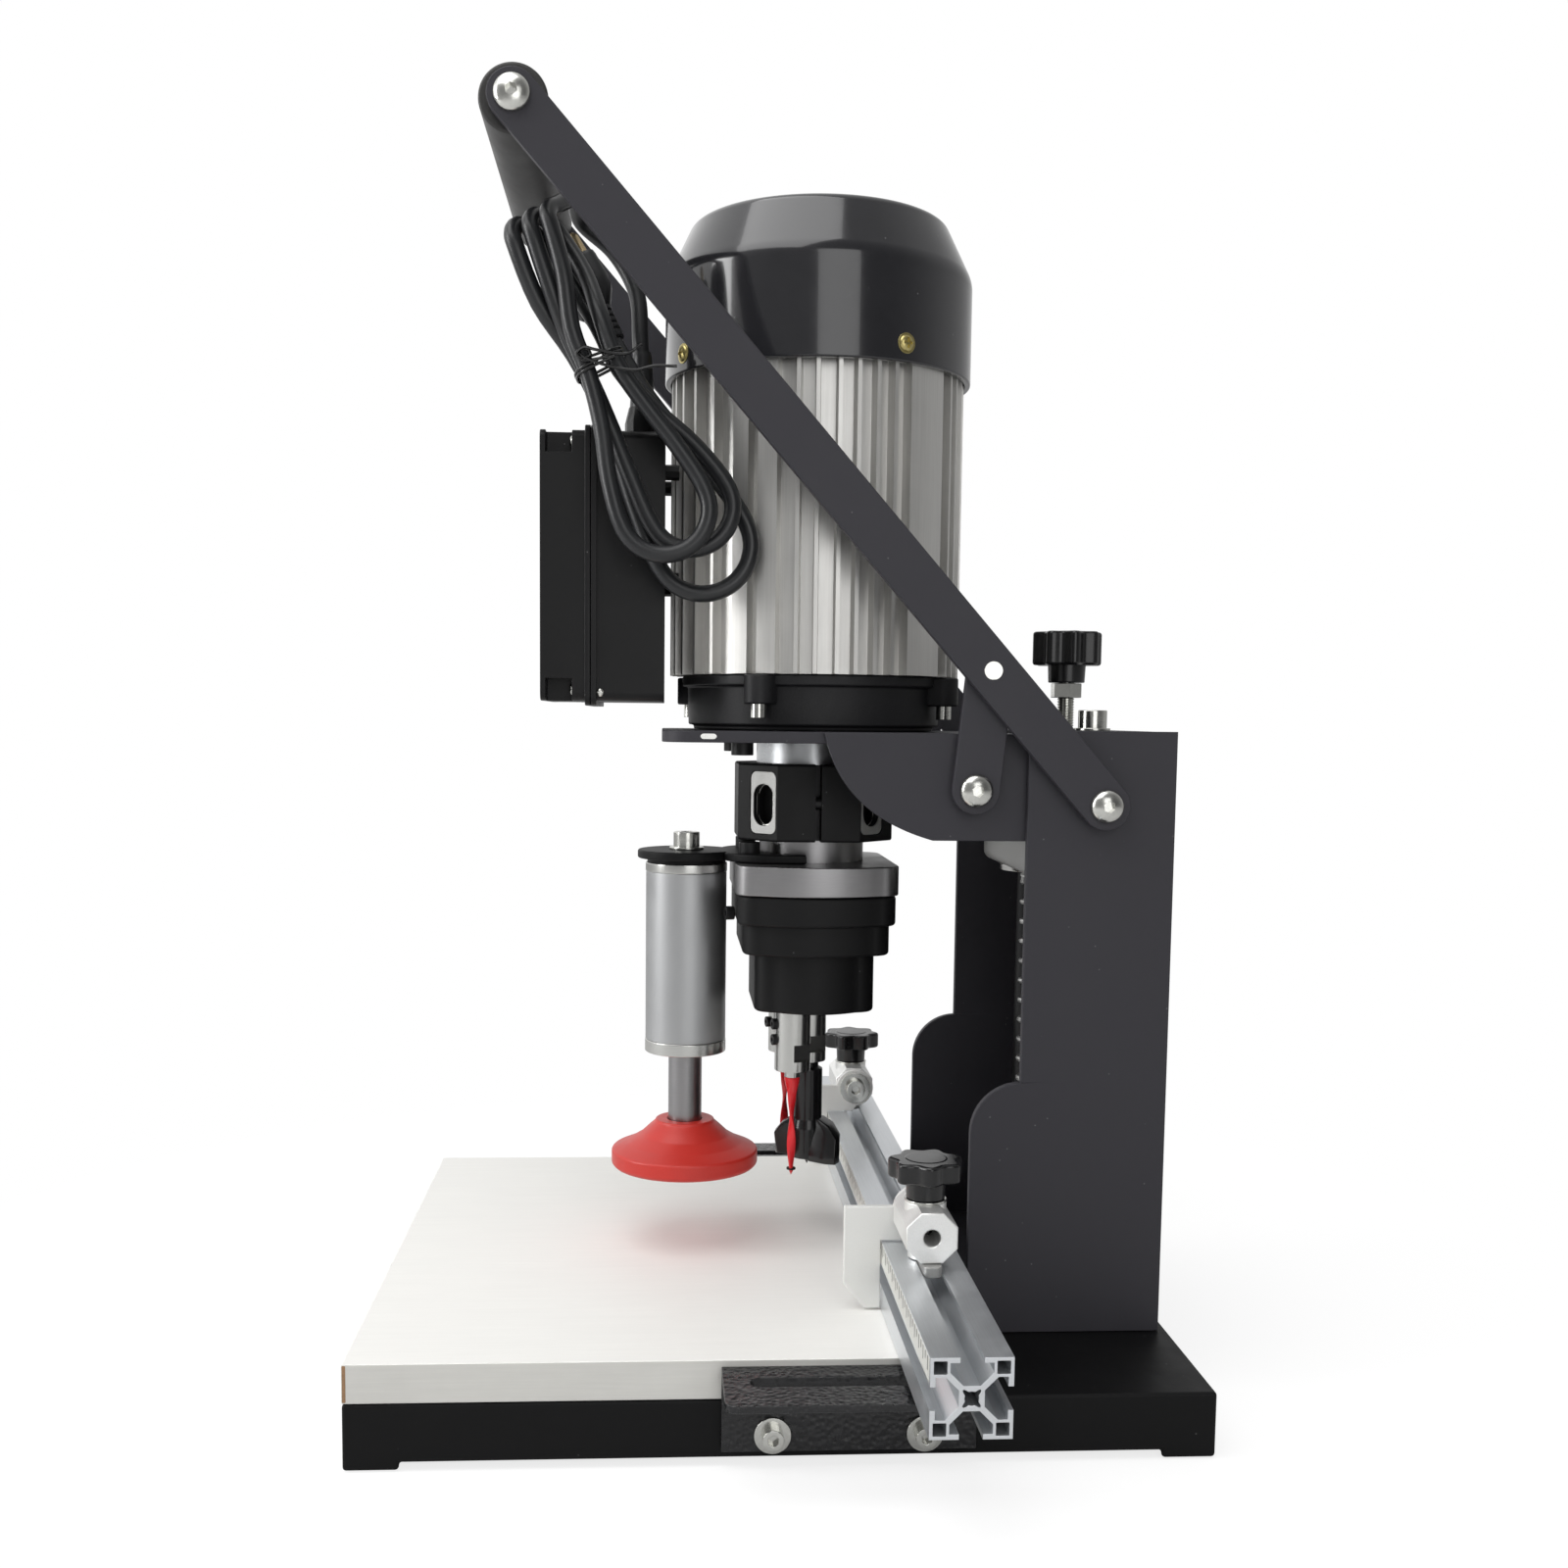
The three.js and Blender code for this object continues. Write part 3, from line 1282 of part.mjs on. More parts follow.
// Stops: an eight-sided block, a white flag that flips on a pin, and a star knob that clamps the block
function stop(suffix, innerX, side) {
  const corner = 6;
  const footRadius = 7;
  const pinHole = 3.5;
  const pinLength = 9;
  const half = stopFlats / 2;
  const low = half + stopRise;
  const studX = stopLength / 2;
  const placed = (name, geometry, material) => {
    const shape = side > 0 ? geometry : mirrorX(geometry);
    add(`${name}_${suffix}`, shape, material, side * innerX, fenceY, fenceTop + gap + low);
  };
  placed('stop_block', cut(
    join(
      sidePlate(octagon(half, corner), 0, stopLength),
      bar(footRadius, -low, overrun - half, studX, 0),
    ),
    crossBar(pinHole, -overrun, stopLength + overrun, 0, 0),
    bar(boltRadius + gap, -low - overrun, half + overrun, studX, 0),
  ), aluminium);

  const flagHub = 10.4;
  const flagFront = 31.5;
  const flagRear = 15.6;
  const flagDrop = 43.3;
  const flagRise = 1.5;
  const flagCorner = 8.9;
  const flagCornerRise = 11.2;
  const flagNeck = low - gap;
  const flagShape = outline([
    [-flagFront, flagRise], [-flagFront, flagCornerRise - flagDrop], [flagCorner - flagFront, -flagDrop],
    [-flagRear, -flagDrop], [-flagRear, -flagNeck], [0, -flagNeck], [0, flagRise],
  ]);
  const outerFace = -gap - flagThick;
  placed('stop_flag', join(
    sidePlate(flagShape, outerFace, -gap),
    crossBar(flagHub, outerFace, -gap, 0, 0, 20),
    crossBar(pinHole - gap, outerFace, pinLength, 0, 0),
  ), melamine);

  const knobHub = 8.2;
  const knobHubHeight = 9;
  const knobHeight = 8.6;
  const knobRadius = 15.8;
  const knobDepth = 2.9;
  const studReach = 3.3; // the stud goes through the slot's lips
  const headLow = half + knobHubHeight;
  placed('stop_knob', join(
    bar(boltRadius, -low - studReach, half + gap + overrun, studX, 0),
    bar(knobHub, half + gap, headLow + overrun, studX, 0, 16),
    plate(starShape(knobRadius, knobDepth, 7), headLow, headLow + knobHeight).translate(studX, 0, 0),
  ), plastic);
}

// Depth stop: a stud through the column's top plate with a jam nut and a star knob
function depthStop() {
  const nutRise = 22.2; // above the block
  const nutHeight = 6.8;
  const nutRadius = 7.5;
  const studHeight = 44.1;
  const hubRadius = 8.6;
  const hubHeight = 8.2;
  const headRadius = 16.6;
  const headDepth = 2.9;
  const headHeight = 15.9;
  const nutLow = blockTop + nutRise;
  const knobLow = nutLow + nutHeight + gap;
  const headLow = knobLow + hubHeight;
  const studTop = blockTop + studHeight;
  const stud = join(
    bar(boltRadius, blockTop + gap, studTop, 0, 0),
    bar(nutRadius, nutLow, nutLow + nutHeight, 0, 0, 6),
  );
  add('depth_stud', stud, steel, 0, slideY, 0);
  const knob = cut(
    join(
      bar(hubRadius, knobLow, headLow + overrun, 0, 0, 16),
      plate(starShape(headRadius, headDepth, 8), headLow, headLow + headHeight),
    ),
    bar(boltRadius + gap, knobLow - overrun, studTop + gap, 0, 0),
  );
  add('depth_knob', knob, plastic, 0, slideY, 0);
}

// Cord: a hank of three loops, drawn in by a tie. Its points lie along and across the hank's own line.
const hankLoops = 3;
const tieX = 63.5;
const tieY = -78;
const tieZ = 445;
const hankTurn = 0.467; // lean of the hank in radians from straight down
const hankLean = 6;
const hankTwist = 1.4; // the upper bends are turned by this much about the hank's own line
const hankTopReach = 68;
const hankTopRadius = 9;
const hankPinch = 6.4;
const hankBottoms = [ // reach, side shift and radius of each loop's lower end
  { reach: 86, shift: -3, radius: 19 },
  { reach: 88, shift: 8, radius: 18 },
  { reach: 107, shift: 6, radius: 21 },
];
const plugShift = 7; // how far the plug's end of the cord leaves the bundle sideways
const plugLayers = 1; // and how many layers it goes back

const smooth = (t) => t * t * (3 - 2 * t);

// The first loop lies nearest to the lever's arm, the others behind it
function hankPoint(along, across, layer) {
  const c = Math.cos(hankTurn);
  const s = Math.sin(hankTurn);
  const twist = hankTwist * smooth(Math.min(1, Math.max(0, -along / (hankTopReach - hankTopRadius))));
  const ahead = ((hankLoops - 1) / 2 - layer) * (2 * cordRadius + cordGap);
  const out = ahead * Math.cos(twist) - across * Math.sin(twist);
  const aside = across * Math.cos(twist) + ahead * Math.sin(twist);
  const x = tieX + (hankLean * along) / hankTopReach + out;
  return new THREE.Vector3(x, tieY + along * s + aside * c, tieZ - along * c + aside * s);
}

function hankRoute() {
  const steps = 24;
  const lastStep = 19;
  const endShare = 1 / 8; // share of a loop that is half of its upper bend
  const plugBend = 1.3;
  const points = [];
  const topCentre = hankTopRadius - hankTopReach;
  for (let i = 0; i <= (hankLoops - 1) * steps + lastStep; i += 1) {
    const loop = Math.floor(i / steps);
    const u = i / steps - loop;
    const { reach, shift, radius } = hankBottoms[loop];
    const bottomCentre = reach - radius;
    const tieShare = -topCentre / (bottomCentre - topCentre);
    let along;
    let across;
    let layer = loop;
    if (u < endShare || u > 1 - endShare) {
      const turn = u < endShare ? u : u - 1;
      along = topCentre - hankTopRadius * Math.cos(turn * 4 * Math.PI);
      across = -hankTopRadius * Math.sin(turn * 4 * Math.PI);
      layer = loop + smooth((turn + endShare) / (2 * endShare)) - (turn < 0 ? 0 : 1);
    } else if (u < 3 * endShare || u > 5 * endShare) {
      const down = u < 0.5 ? (u - endShare) * 4 : (1 - endShare - u) * 4;
      const below = Math.max(0, (down - tieShare) / (1 - tieShare));
      const above = Math.max(0, 1 - down / tieShare);
      const wideTop = (hankTopRadius - hankPinch) * smooth(above);
      const wideBottom = (radius - hankPinch) * smooth(below);
      const half = hankPinch + wideTop + wideBottom;
      along = topCentre + (bottomCentre - topCentre) * down;
      across = (u < 0.5 ? -half : half) + shift * smooth(below);
      if (loop === hankLoops - 1 && u > 0.5) {
        const apart = smooth(Math.min(1, (1 - down) * plugBend));
        across += plugShift * apart;
        layer += plugLayers * apart;
      }
    } else {
      const turn = (u - 3 * endShare) * 4 * Math.PI;
      along = bottomCentre + radius * Math.sin(turn);
      across = shift - radius * Math.cos(turn);
    }
    points.push(hankPoint(along, across, layer));
  }
  return points;
}

// The hank's route with a straight of one diameter at each end
function hankPoints() {
  const route = hankRoute();
  const reach = 2 * cordRadius;
  const ends = [[route[0], route[1]], [route[route.length - 1], route[route.length - 2]]];
  const [first, last] = ends.map(([end, inner]) =>
    end.clone().add(end.clone().sub(inner).setLength(reach)));
  return [first, ...route, last];
}

// Lead from the spout up to the hank; its middle points are chosen by hand
function leadPoints(hank) {
  const back = hank[0].clone().sub(hank[1]).normalize();
  const end = hank[0].clone().add(back.clone().multiplyScalar(gap));
  const rises = [ // offsets from the spout's mouth at the box's top
    [0, 0, 0], [0, 0, 20], [-3, -1, 42], [-8, -3, 64], [-11, -13, 82], [-6, -27, 93],
  ];
  const points = rises.map(([x, y, z]) => new THREE.Vector3(spoutX + x, spoutY + y, boxTop + z));
  [3, 1, 0].forEach((radii) => points.push(end.clone().add(back.clone().multiplyScalar(radii * cordRadius))));
  return new THREE.CatmullRomCurve3(points, false, 'centripetal').getPoints(24);
}

function cord() {
  const hank = hankPoints();
  console.log('cord_hank least gap', selfGap(hank, cordRadius, 4 * Math.PI * cordRadius).toFixed(2));
  add('cord_hank', tube(hank, cordRadius, 6), rubber);
  add('cord_lead', tube(leadPoints(hank), cordRadius, 8), rubber);
  const end = hank[hank.length - 1];
  mainsPlug(end, end.clone().sub(hank[hank.length - 2]).normalize());
}

// Plug with its ribbed relief, body and two pins, along the direction in which the cord ends
function mainsPlug(end, direction) {
  const reliefWall = 1.6;
  const reliefFoot = 3.2;
  const reliefLength = 16;
  const bodyLength = 24;
  const bodyWide = 12.4;
  const bodyThick = 8;
  const bodyCorner = 4;
  const socketDepth = 8;
  const pinX = 8;
  const pinWide = 2.4;
  const pinLength = 13;
  const bodyTop = reliefLength + bodyLength;
  const relief = turned([
    [0, 0],
    [cordRadius + reliefWall, 0],
    [cordRadius + reliefFoot, reliefLength + overrun],
    [0, reliefLength + overrun],
  ], 14);
  const bodyShape = roundedRect(-bodyThick, -bodyWide, bodyThick, bodyWide, bodyCorner);
  const body = plate(bodyShape, reliefLength, bodyTop, 3);
  const pins = [-pinX, pinX].map((y) => bar(pinWide, bodyTop - overrun, bodyTop + pinLength, 0, y));
  const plug = cut(join(relief, body, ...pins), bar(cordRadius + gap, -overrun, socketDepth, 0, 0));
  plug.applyQuaternion(new THREE.Quaternion().setFromUnitVectors(new THREE.Vector3(0, 0, 1), direction));
  const seat = end.clone().sub(direction.clone().multiplyScalar(socketDepth - gap));
  add('mains_plug', plug.translate(seat.x, seat.y, seat.z), plastic);
}

baseFrame();
tableBoard();
columnShell();
columnTopPlate();
guideShafts();
slideBlock();
returnSpring();
motorPlate();
gussets();
lever();
links();
motorFlange();
motorSpigot();
motorShell();
motorInside();
fanCover();
controlBoxBody();
controlBoxLid();
powerSwitch();
clampCollar();
headPlate();
gearHousing();
spindles();
bits();
clampBracket();
workClamp();
fenceProfile();
fenceBrackets();
stop('R', stopNearX, 1);
stop('L', stopFarX, -1);
depthStop();
cord();

export default machine;
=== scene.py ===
"""Hinge boring machine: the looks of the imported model, in millimetres and in the model's frame."""
import json
from functools import partial
from math import atan2, copysign, cos, degrees, hypot, pi, radians, sin, sqrt

import bmesh
import bpy
from mathutils import Matrix, Vector

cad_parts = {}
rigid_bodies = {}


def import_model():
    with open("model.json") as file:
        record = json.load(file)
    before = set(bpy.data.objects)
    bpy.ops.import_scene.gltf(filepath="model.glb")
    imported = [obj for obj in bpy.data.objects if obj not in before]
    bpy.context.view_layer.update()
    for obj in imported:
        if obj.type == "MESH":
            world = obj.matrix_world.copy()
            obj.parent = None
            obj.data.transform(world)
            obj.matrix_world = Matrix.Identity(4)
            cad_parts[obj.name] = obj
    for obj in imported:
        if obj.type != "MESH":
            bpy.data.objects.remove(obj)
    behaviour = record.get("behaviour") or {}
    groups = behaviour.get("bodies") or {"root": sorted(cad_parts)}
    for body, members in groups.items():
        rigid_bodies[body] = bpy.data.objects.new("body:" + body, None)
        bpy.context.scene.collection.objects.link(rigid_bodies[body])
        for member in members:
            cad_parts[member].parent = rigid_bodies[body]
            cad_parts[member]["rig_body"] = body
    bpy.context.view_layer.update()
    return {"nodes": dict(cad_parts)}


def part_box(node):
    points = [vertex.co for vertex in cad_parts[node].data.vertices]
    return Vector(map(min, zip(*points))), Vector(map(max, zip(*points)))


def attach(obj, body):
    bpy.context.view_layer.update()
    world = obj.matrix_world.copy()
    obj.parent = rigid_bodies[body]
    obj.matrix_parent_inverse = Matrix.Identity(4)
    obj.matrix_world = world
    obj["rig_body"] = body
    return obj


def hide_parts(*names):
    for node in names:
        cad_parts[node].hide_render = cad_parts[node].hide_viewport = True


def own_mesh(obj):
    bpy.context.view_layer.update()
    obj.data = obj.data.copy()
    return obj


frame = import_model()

MM = 0.001
NODES = frame["nodes"]
SCENE = bpy.context.scene

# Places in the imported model
AXIS_Y = 20.5
SLIDE_Y = 142.0
PIVOT = (138.5, 261.0)
GRIP = (-112.4, 545.6)
PIN = (88.37, 317.86)
LINK = (83.27, 266.96)
CLAMP_AHEAD = 59.5
SPINDLE_X, SPINDLE_AHEAD = 22.5, 9.5
GUIDE_X = 50
HOLE, SHANK = 4.3, 3.9  # radii for an M8 bolt
SIDE = {"R": 1, "L": -1}


def span(node):
    low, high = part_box(node)
    return low / MM, high / MM


def levels(node):
    low, high = span(node)
    return low.z, high.z


# Meshes in millimetres
def new_mesh(points, faces):
    mesh = bpy.data.meshes.new("shape")
    mesh.from_pydata([tuple(p) for p in points], [], faces)
    return mesh


def join(*meshes):
    work = bmesh.new()
    for mesh in meshes:
        work.from_mesh(mesh)
    merged = bpy.data.meshes.new("shape")
    work.to_mesh(merged)
    work.free()
    return merged


def moved(mesh, x=0.0, y=0.0, z=0.0, turn=None):
    copy = mesh.copy()
    if turn is not None:
        copy.transform(turn)
    copy.transform(Matrix.Translation((x, y, z)))
    return copy


def on_axis(mesh):
    return moved(mesh, 0, AXIS_Y)


def mirrored(mesh):
    copy = mesh.copy()
    copy.transform(Matrix.Diagonal((-1, 1, 1, 1)))
    copy.flip_normals()
    return copy


def turn(angle, axis="Z"):
    return Matrix.Rotation(radians(angle), 4, axis)


def evaluated(obj):
    graph = bpy.context.evaluated_depsgraph_get()
    return bpy.data.meshes.new_from_object(obj.evaluated_get(graph))


def linked(name, data):
    obj = bpy.data.objects.new(name, data)
    SCENE.collection.objects.link(obj)
    return obj


def mesh_of(curve):
    obj = linked("curve_work", curve)
    mesh = evaluated(obj)
    bpy.data.objects.remove(obj)
    return mesh


def welded(mesh, reach=0.001):
    work = bmesh.new()
    work.from_mesh(mesh)
    bmesh.ops.remove_doubles(work, verts=work.verts, dist=reach)
    bmesh.ops.recalc_face_normals(work, faces=work.faces)
    work.to_mesh(mesh)
    work.free()
    return mesh


def cut(mesh, *tools):
    """The mesh less the tools."""
    body = linked("body_work", mesh)
    used = [linked("tool_work", tool) for tool in tools]
    for tool in used:
        step = body.modifiers.new("cut", "BOOLEAN")
        step.operation = "DIFFERENCE"
        step.solver = "EXACT"
        step.object = tool
    result = evaluated(body)
    for obj in (body, *used):
        bpy.data.objects.remove(obj)
    return result


FACING = {
    "x": Matrix(((0, 0, 1, 0), (1, 0, 0, 0), (0, 1, 0, 0), (0, 0, 0, 1))),
    "y": Matrix(((1, 0, 0, 0), (0, 0, -1, 0), (0, 1, 0, 0), (0, 0, 0, 1))),
    "z": Matrix.Identity(4),
}


def add_spline(curve, points):
    spline = curve.splines.new("POLY")
    spline.points.add(len(points) - 1)
    for point, place in zip(spline.points, points):
        point.co = (*place, 1)
    return spline


def slab(loops, low, high, plane="z", edge=0.4, steps=2):
    """A plate with rounded edges between low and high. The first loop is the outline, the others holes."""
    curve = bpy.data.curves.new("outline_work", "CURVE")
    curve.dimensions = "2D"
    curve.fill_mode = "BOTH"
    curve.extrude = (high - low) / 2 - edge
    curve.bevel_depth = edge
    curve.bevel_resolution = steps
    curve.offset = -edge
    for loop in loops:
        add_spline(curve, [(a, b, 0) for a, b in loop]).use_cyclic_u = True
    mesh = mesh_of(curve)
    middle = (low + high) / 2
    mesh.transform(Matrix.Translation((0, 0, middle if plane != "y" else -middle)))
    mesh.transform(FACING[plane])
    return welded(mesh)


def lathe(profile, segments=64, axis="z"):
    """A turned shape. The profile lists radius and height, and a radius of 0 closes it."""
    points, rings = [], []
    for radius, height in profile:
        if radius < 1e-6:
            rings.append([len(points)])
            points.append((0, 0, height))
            continue
        rings.append(list(range(len(points), len(points) + segments)))
        for k in range(segments):
            angle = 2 * pi * k / segments
            points.append((radius * cos(angle), radius * sin(angle), height))
    faces = []
    for low, high in zip(rings, rings[1:]):
        for k in range(segments):
            n = (k + 1) % segments
            face = [low[k % len(low)], low[n % len(low)], high[n % len(high)], high[k % len(high)]]
            face = list(dict.fromkeys(face))
            if len(face) > 2:
                faces.append(face)
    mesh = welded(new_mesh(points, faces), 1e-5)
    mesh.transform({"x": FACING["x"], "y": Matrix.Rotation(-pi / 2, 4, "X"), "z": Matrix.Identity(4)}[axis])
    return mesh


def softened(profile, radius, steps=3):
    """The profile with its inner corners rounded."""
    result = [profile[0]]
    for before, corner, after in zip(profile, profile[1:], profile[2:]):
        a, b, c = Vector(before), Vector(corner), Vector(after)
        reach = min(radius, (a - b).length * 0.45, (c - b).length * 0.45)
        start, end = b + (a - b).normalized() * reach, b + (c - b).normalized() * reach
        result += curve(start, b, end, steps)
    result.append(profile[-1])
    return result


def turned(profile, edge, segments=64, axis="z", steps=3):
    return lathe(softened(profile, edge, steps), segments, axis)


def ring(radius, inner, low, high, edge=0.4, segments=64, axis="z"):
    profile = rect(inner, low, radius, high) + [(inner, low)]
    return turned(profile, edge, segments, axis)


def bevel(work, edge, angle, steps=2):
    sharp = [e for e in work.edges if len(e.link_faces) == 2 and e.calc_face_angle(0) > radians(angle)]
    bmesh.ops.bevel(
        work, geom=sharp, offset=edge, offset_type="OFFSET", segments=steps, profile=0.5,
        affect="EDGES", clamp_overlap=True)


def refined(node, edge, angle=30, steps=2):
    """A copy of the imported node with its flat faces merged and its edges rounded."""
    work = bmesh.new()
    work.from_mesh(NODES[node].data)
    bmesh.ops.scale(work, vec=(1 / MM,) * 3, verts=work.verts)
    bmesh.ops.remove_doubles(work, verts=work.verts, dist=0.002)
    bmesh.ops.dissolve_limit(
        work, angle_limit=radians(1), verts=work.verts, edges=work.edges, use_dissolve_boundaries=False)
    bevel(work, edge, angle, steps)
    mesh = bpy.data.meshes.new("shape")
    work.to_mesh(mesh)
    work.free()
    return mesh


# Outlines
def arc(a, b, radius, start, end, steps=12):
    turns = [radians(start + (end - start) * k / steps) for k in range(steps + 1)]
    return [(a + radius * cos(t), b + radius * sin(t)) for t in turns]


def circle(a, b, radius, steps=48):
    return arc(a, b, radius, 0, 360, steps)[:-1]


def rounded_box(a0, b0, a1, b1, radius, steps=8):
    return (arc(a1 - radius, b0 + radius, radius, -90, 0, steps)
            + arc(a1 - radius, b1 - radius, radius, 0, 90, steps)
            + arc(a0 + radius, b1 - radius, radius, 90, 180, steps)
            + arc(a0 + radius, b0 + radius, radius, 180, 270, steps))


def strap(start, end, half):
    """A straight bar with round ends, seen from its side."""
    lean = degrees(atan2(end[1] - start[1], end[0] - start[0]))
    return arc(*end, half, lean - 90, lean + 90, 24) + arc(*start, half, lean + 90, lean + 270, 24)


def curve(start, control, end, steps=12):
    a, b, c = Vector(start), Vector(control), Vector(end)
    return [tuple(a * (1 - t) ** 2 + b * 2 * t * (1 - t) + c * t * t)
            for t in (k / steps for k in range(steps + 1))]


def hexagon(across, start=0):
    return arc(0, 0, across / sqrt(3), start, start + 360, 6)[:-1]


def rect(a0, b0, a1, b1):
    """A rectangle, and from a radius of 0 the profile of a turned cylinder."""
    return [(a0, b0), (a1, b0), (a1, b1), (a0, b1)]


def octagon(half, corner):
    near = half - corner
    return [(-near, -half), (near, -half), (half, -near), (half, near), (near, half), (-near, half),
            (-half, near), (-half, -near)]


def polar(radius, angle):
    return radius * cos(angle), radius * sin(angle)


def loft(rows, tips=None):
    """A skin over rows of points, closed by flat ends or by two tips."""
    sides, last = len(rows[0]), (len(rows) - 1) * len(rows[0])
    points = [point for row in rows for point in row]
    faces = [[i + j, i + (j + 1) % sides, i + sides + (j + 1) % sides, i + sides + j]
             for i in range(0, last, sides) for j in range(sides)]
    if tips:
        points += tips
        faces += [[len(points) - 2, (j + 1) % sides, j] for j in range(sides)]
        faces += [[len(points) - 1, last + j, last + (j + 1) % sides] for j in range(sides)]
    else:
        faces += [[sides - 1 - j for j in range(sides)], [last + j for j in range(sides)]]
    return new_mesh(points, faces)


# Materials: every finish is built of nodes, in the model's own coordinates
def colour(red, green, blue):
    return tuple(((c / 255 + 0.055) / 1.055) ** 2.4 if c > 10 else c / 255 / 12.92
                 for c in (red, green, blue))


def add_node(tree, kind, **values):
    """Adds a node. Each value goes to the input of that name, or else to the node itself."""
    made = tree.nodes.new("ShaderNode" + kind)
    for key, value in values.items():
        if key in made.inputs:
            made.inputs[key].default_value = value
        else:
            setattr(made, key, value)
    return made


def map_range(tree, from_min, from_max, to_min, to_max, kind="LINEAR"):
    made = add_node(tree, "MapRange", interpolation_type=kind)
    for key, value in zip(("From Min", "From Max", "To Min", "To Max"), (from_min, from_max, to_min, to_max)):
        made.inputs[key].default_value = value
    return made


def wire(tree, *links):
    for source, out, target, into in links:
        tree.links.new(source.outputs[out], target.inputs[into])


def finish(name, rgb, rough, metal=0.0, tone=0.1, grain=(1, 1, 1), size=1.0, spread=0.08, bump=0.2,
           depth=0.03, cells=False, cloud=40.0, dust=0.0, coat=0.0, coat_rough=0.05, level=0.5):
    """A surface with grain of the given size in mm, cloudy tone and gloss, and a little dust."""
    material = bpy.data.materials.new(name)
    material.use_nodes = True
    tree = material.node_tree
    add = partial(add_node, tree)
    shader = tree.nodes["Principled BSDF"]
    shader.inputs["Metallic"].default_value = metal
    shader.inputs["Coat Weight"].default_value = coat
    shader.inputs["Coat Roughness"].default_value = coat_rough
    shader.inputs["Specular IOR Level"].default_value = level

    place = add("TexCoord")
    fine_map = add("Mapping", Scale=tuple(1 / MM / size * g for g in grain))
    cloud_map = add("Mapping", Scale=(1 / MM / cloud,) * 3)
    if cells:
        fine, fine_out = add("TexVoronoi", feature="SMOOTH_F1", Smoothness=0.6), "Distance"
    else:
        fine, fine_out = add("TexNoise", Detail=4.0, Roughness=0.6), "Fac"
    fine.inputs["Scale"].default_value = 1.0
    clouds = add("TexNoise", Scale=1.0, Detail=5.0, Roughness=0.65)
    both = add("Math", operation="ADD")
    shade = map_range(tree, 0.6, 1.4, 0.0, 1.0)
    base = colour(*rgb)
    mix = add("Mix", data_type="RGBA")
    mix.inputs[6].default_value = (*[c * (1 - tone) for c in base], 1)
    mix.inputs[7].default_value = (*[min(1, c * (1 + tone)) for c in base], 1)
    gloss = map_range(tree, 0.3, 0.7, max(0.02, rough - spread), min(1.0, rough + spread))
    lift = add("Bump", Strength=bump, Distance=depth * MM)
    wire(tree, (place, "Object", fine_map, "Vector"), (place, "Object", cloud_map, "Vector"),
         (fine_map, "Vector", fine, "Vector"), (cloud_map, "Vector", clouds, "Vector"),
         (fine, fine_out, both, 0), (clouds, "Fac", both, 1), (both, "Value", shade, "Value"),
         (shade, "Result", mix, 0), (clouds, "Fac", gloss, "Value"), (gloss, "Result", shader, "Roughness"),
         (fine, fine_out, lift, "Height"), (lift, "Normal", shader, "Normal"))
    last = mix
    if dust:
        specks = add("TexVoronoi", Scale=1 / MM / 9)
        near = map_range(tree, 0.02, 0.05, dust, 0.0)
        last = add("Mix", data_type="RGBA")
        last.inputs[7].default_value = (0.35, 0.35, 0.35, 1)
        wire(tree, (place, "Object", specks, "Vector"), (specks, "Distance", near, "Value"),
             (near, "Result", last, 0), (mix, 2, last, 6))
    wire(tree, (last, 2, shader, "Base Color"))
    return material


ALONG_Z = (1, 1, 0.02)
ALONG_X = (0.02, 1, 1)
ROUND_Z = (0.05, 0.05, 1)

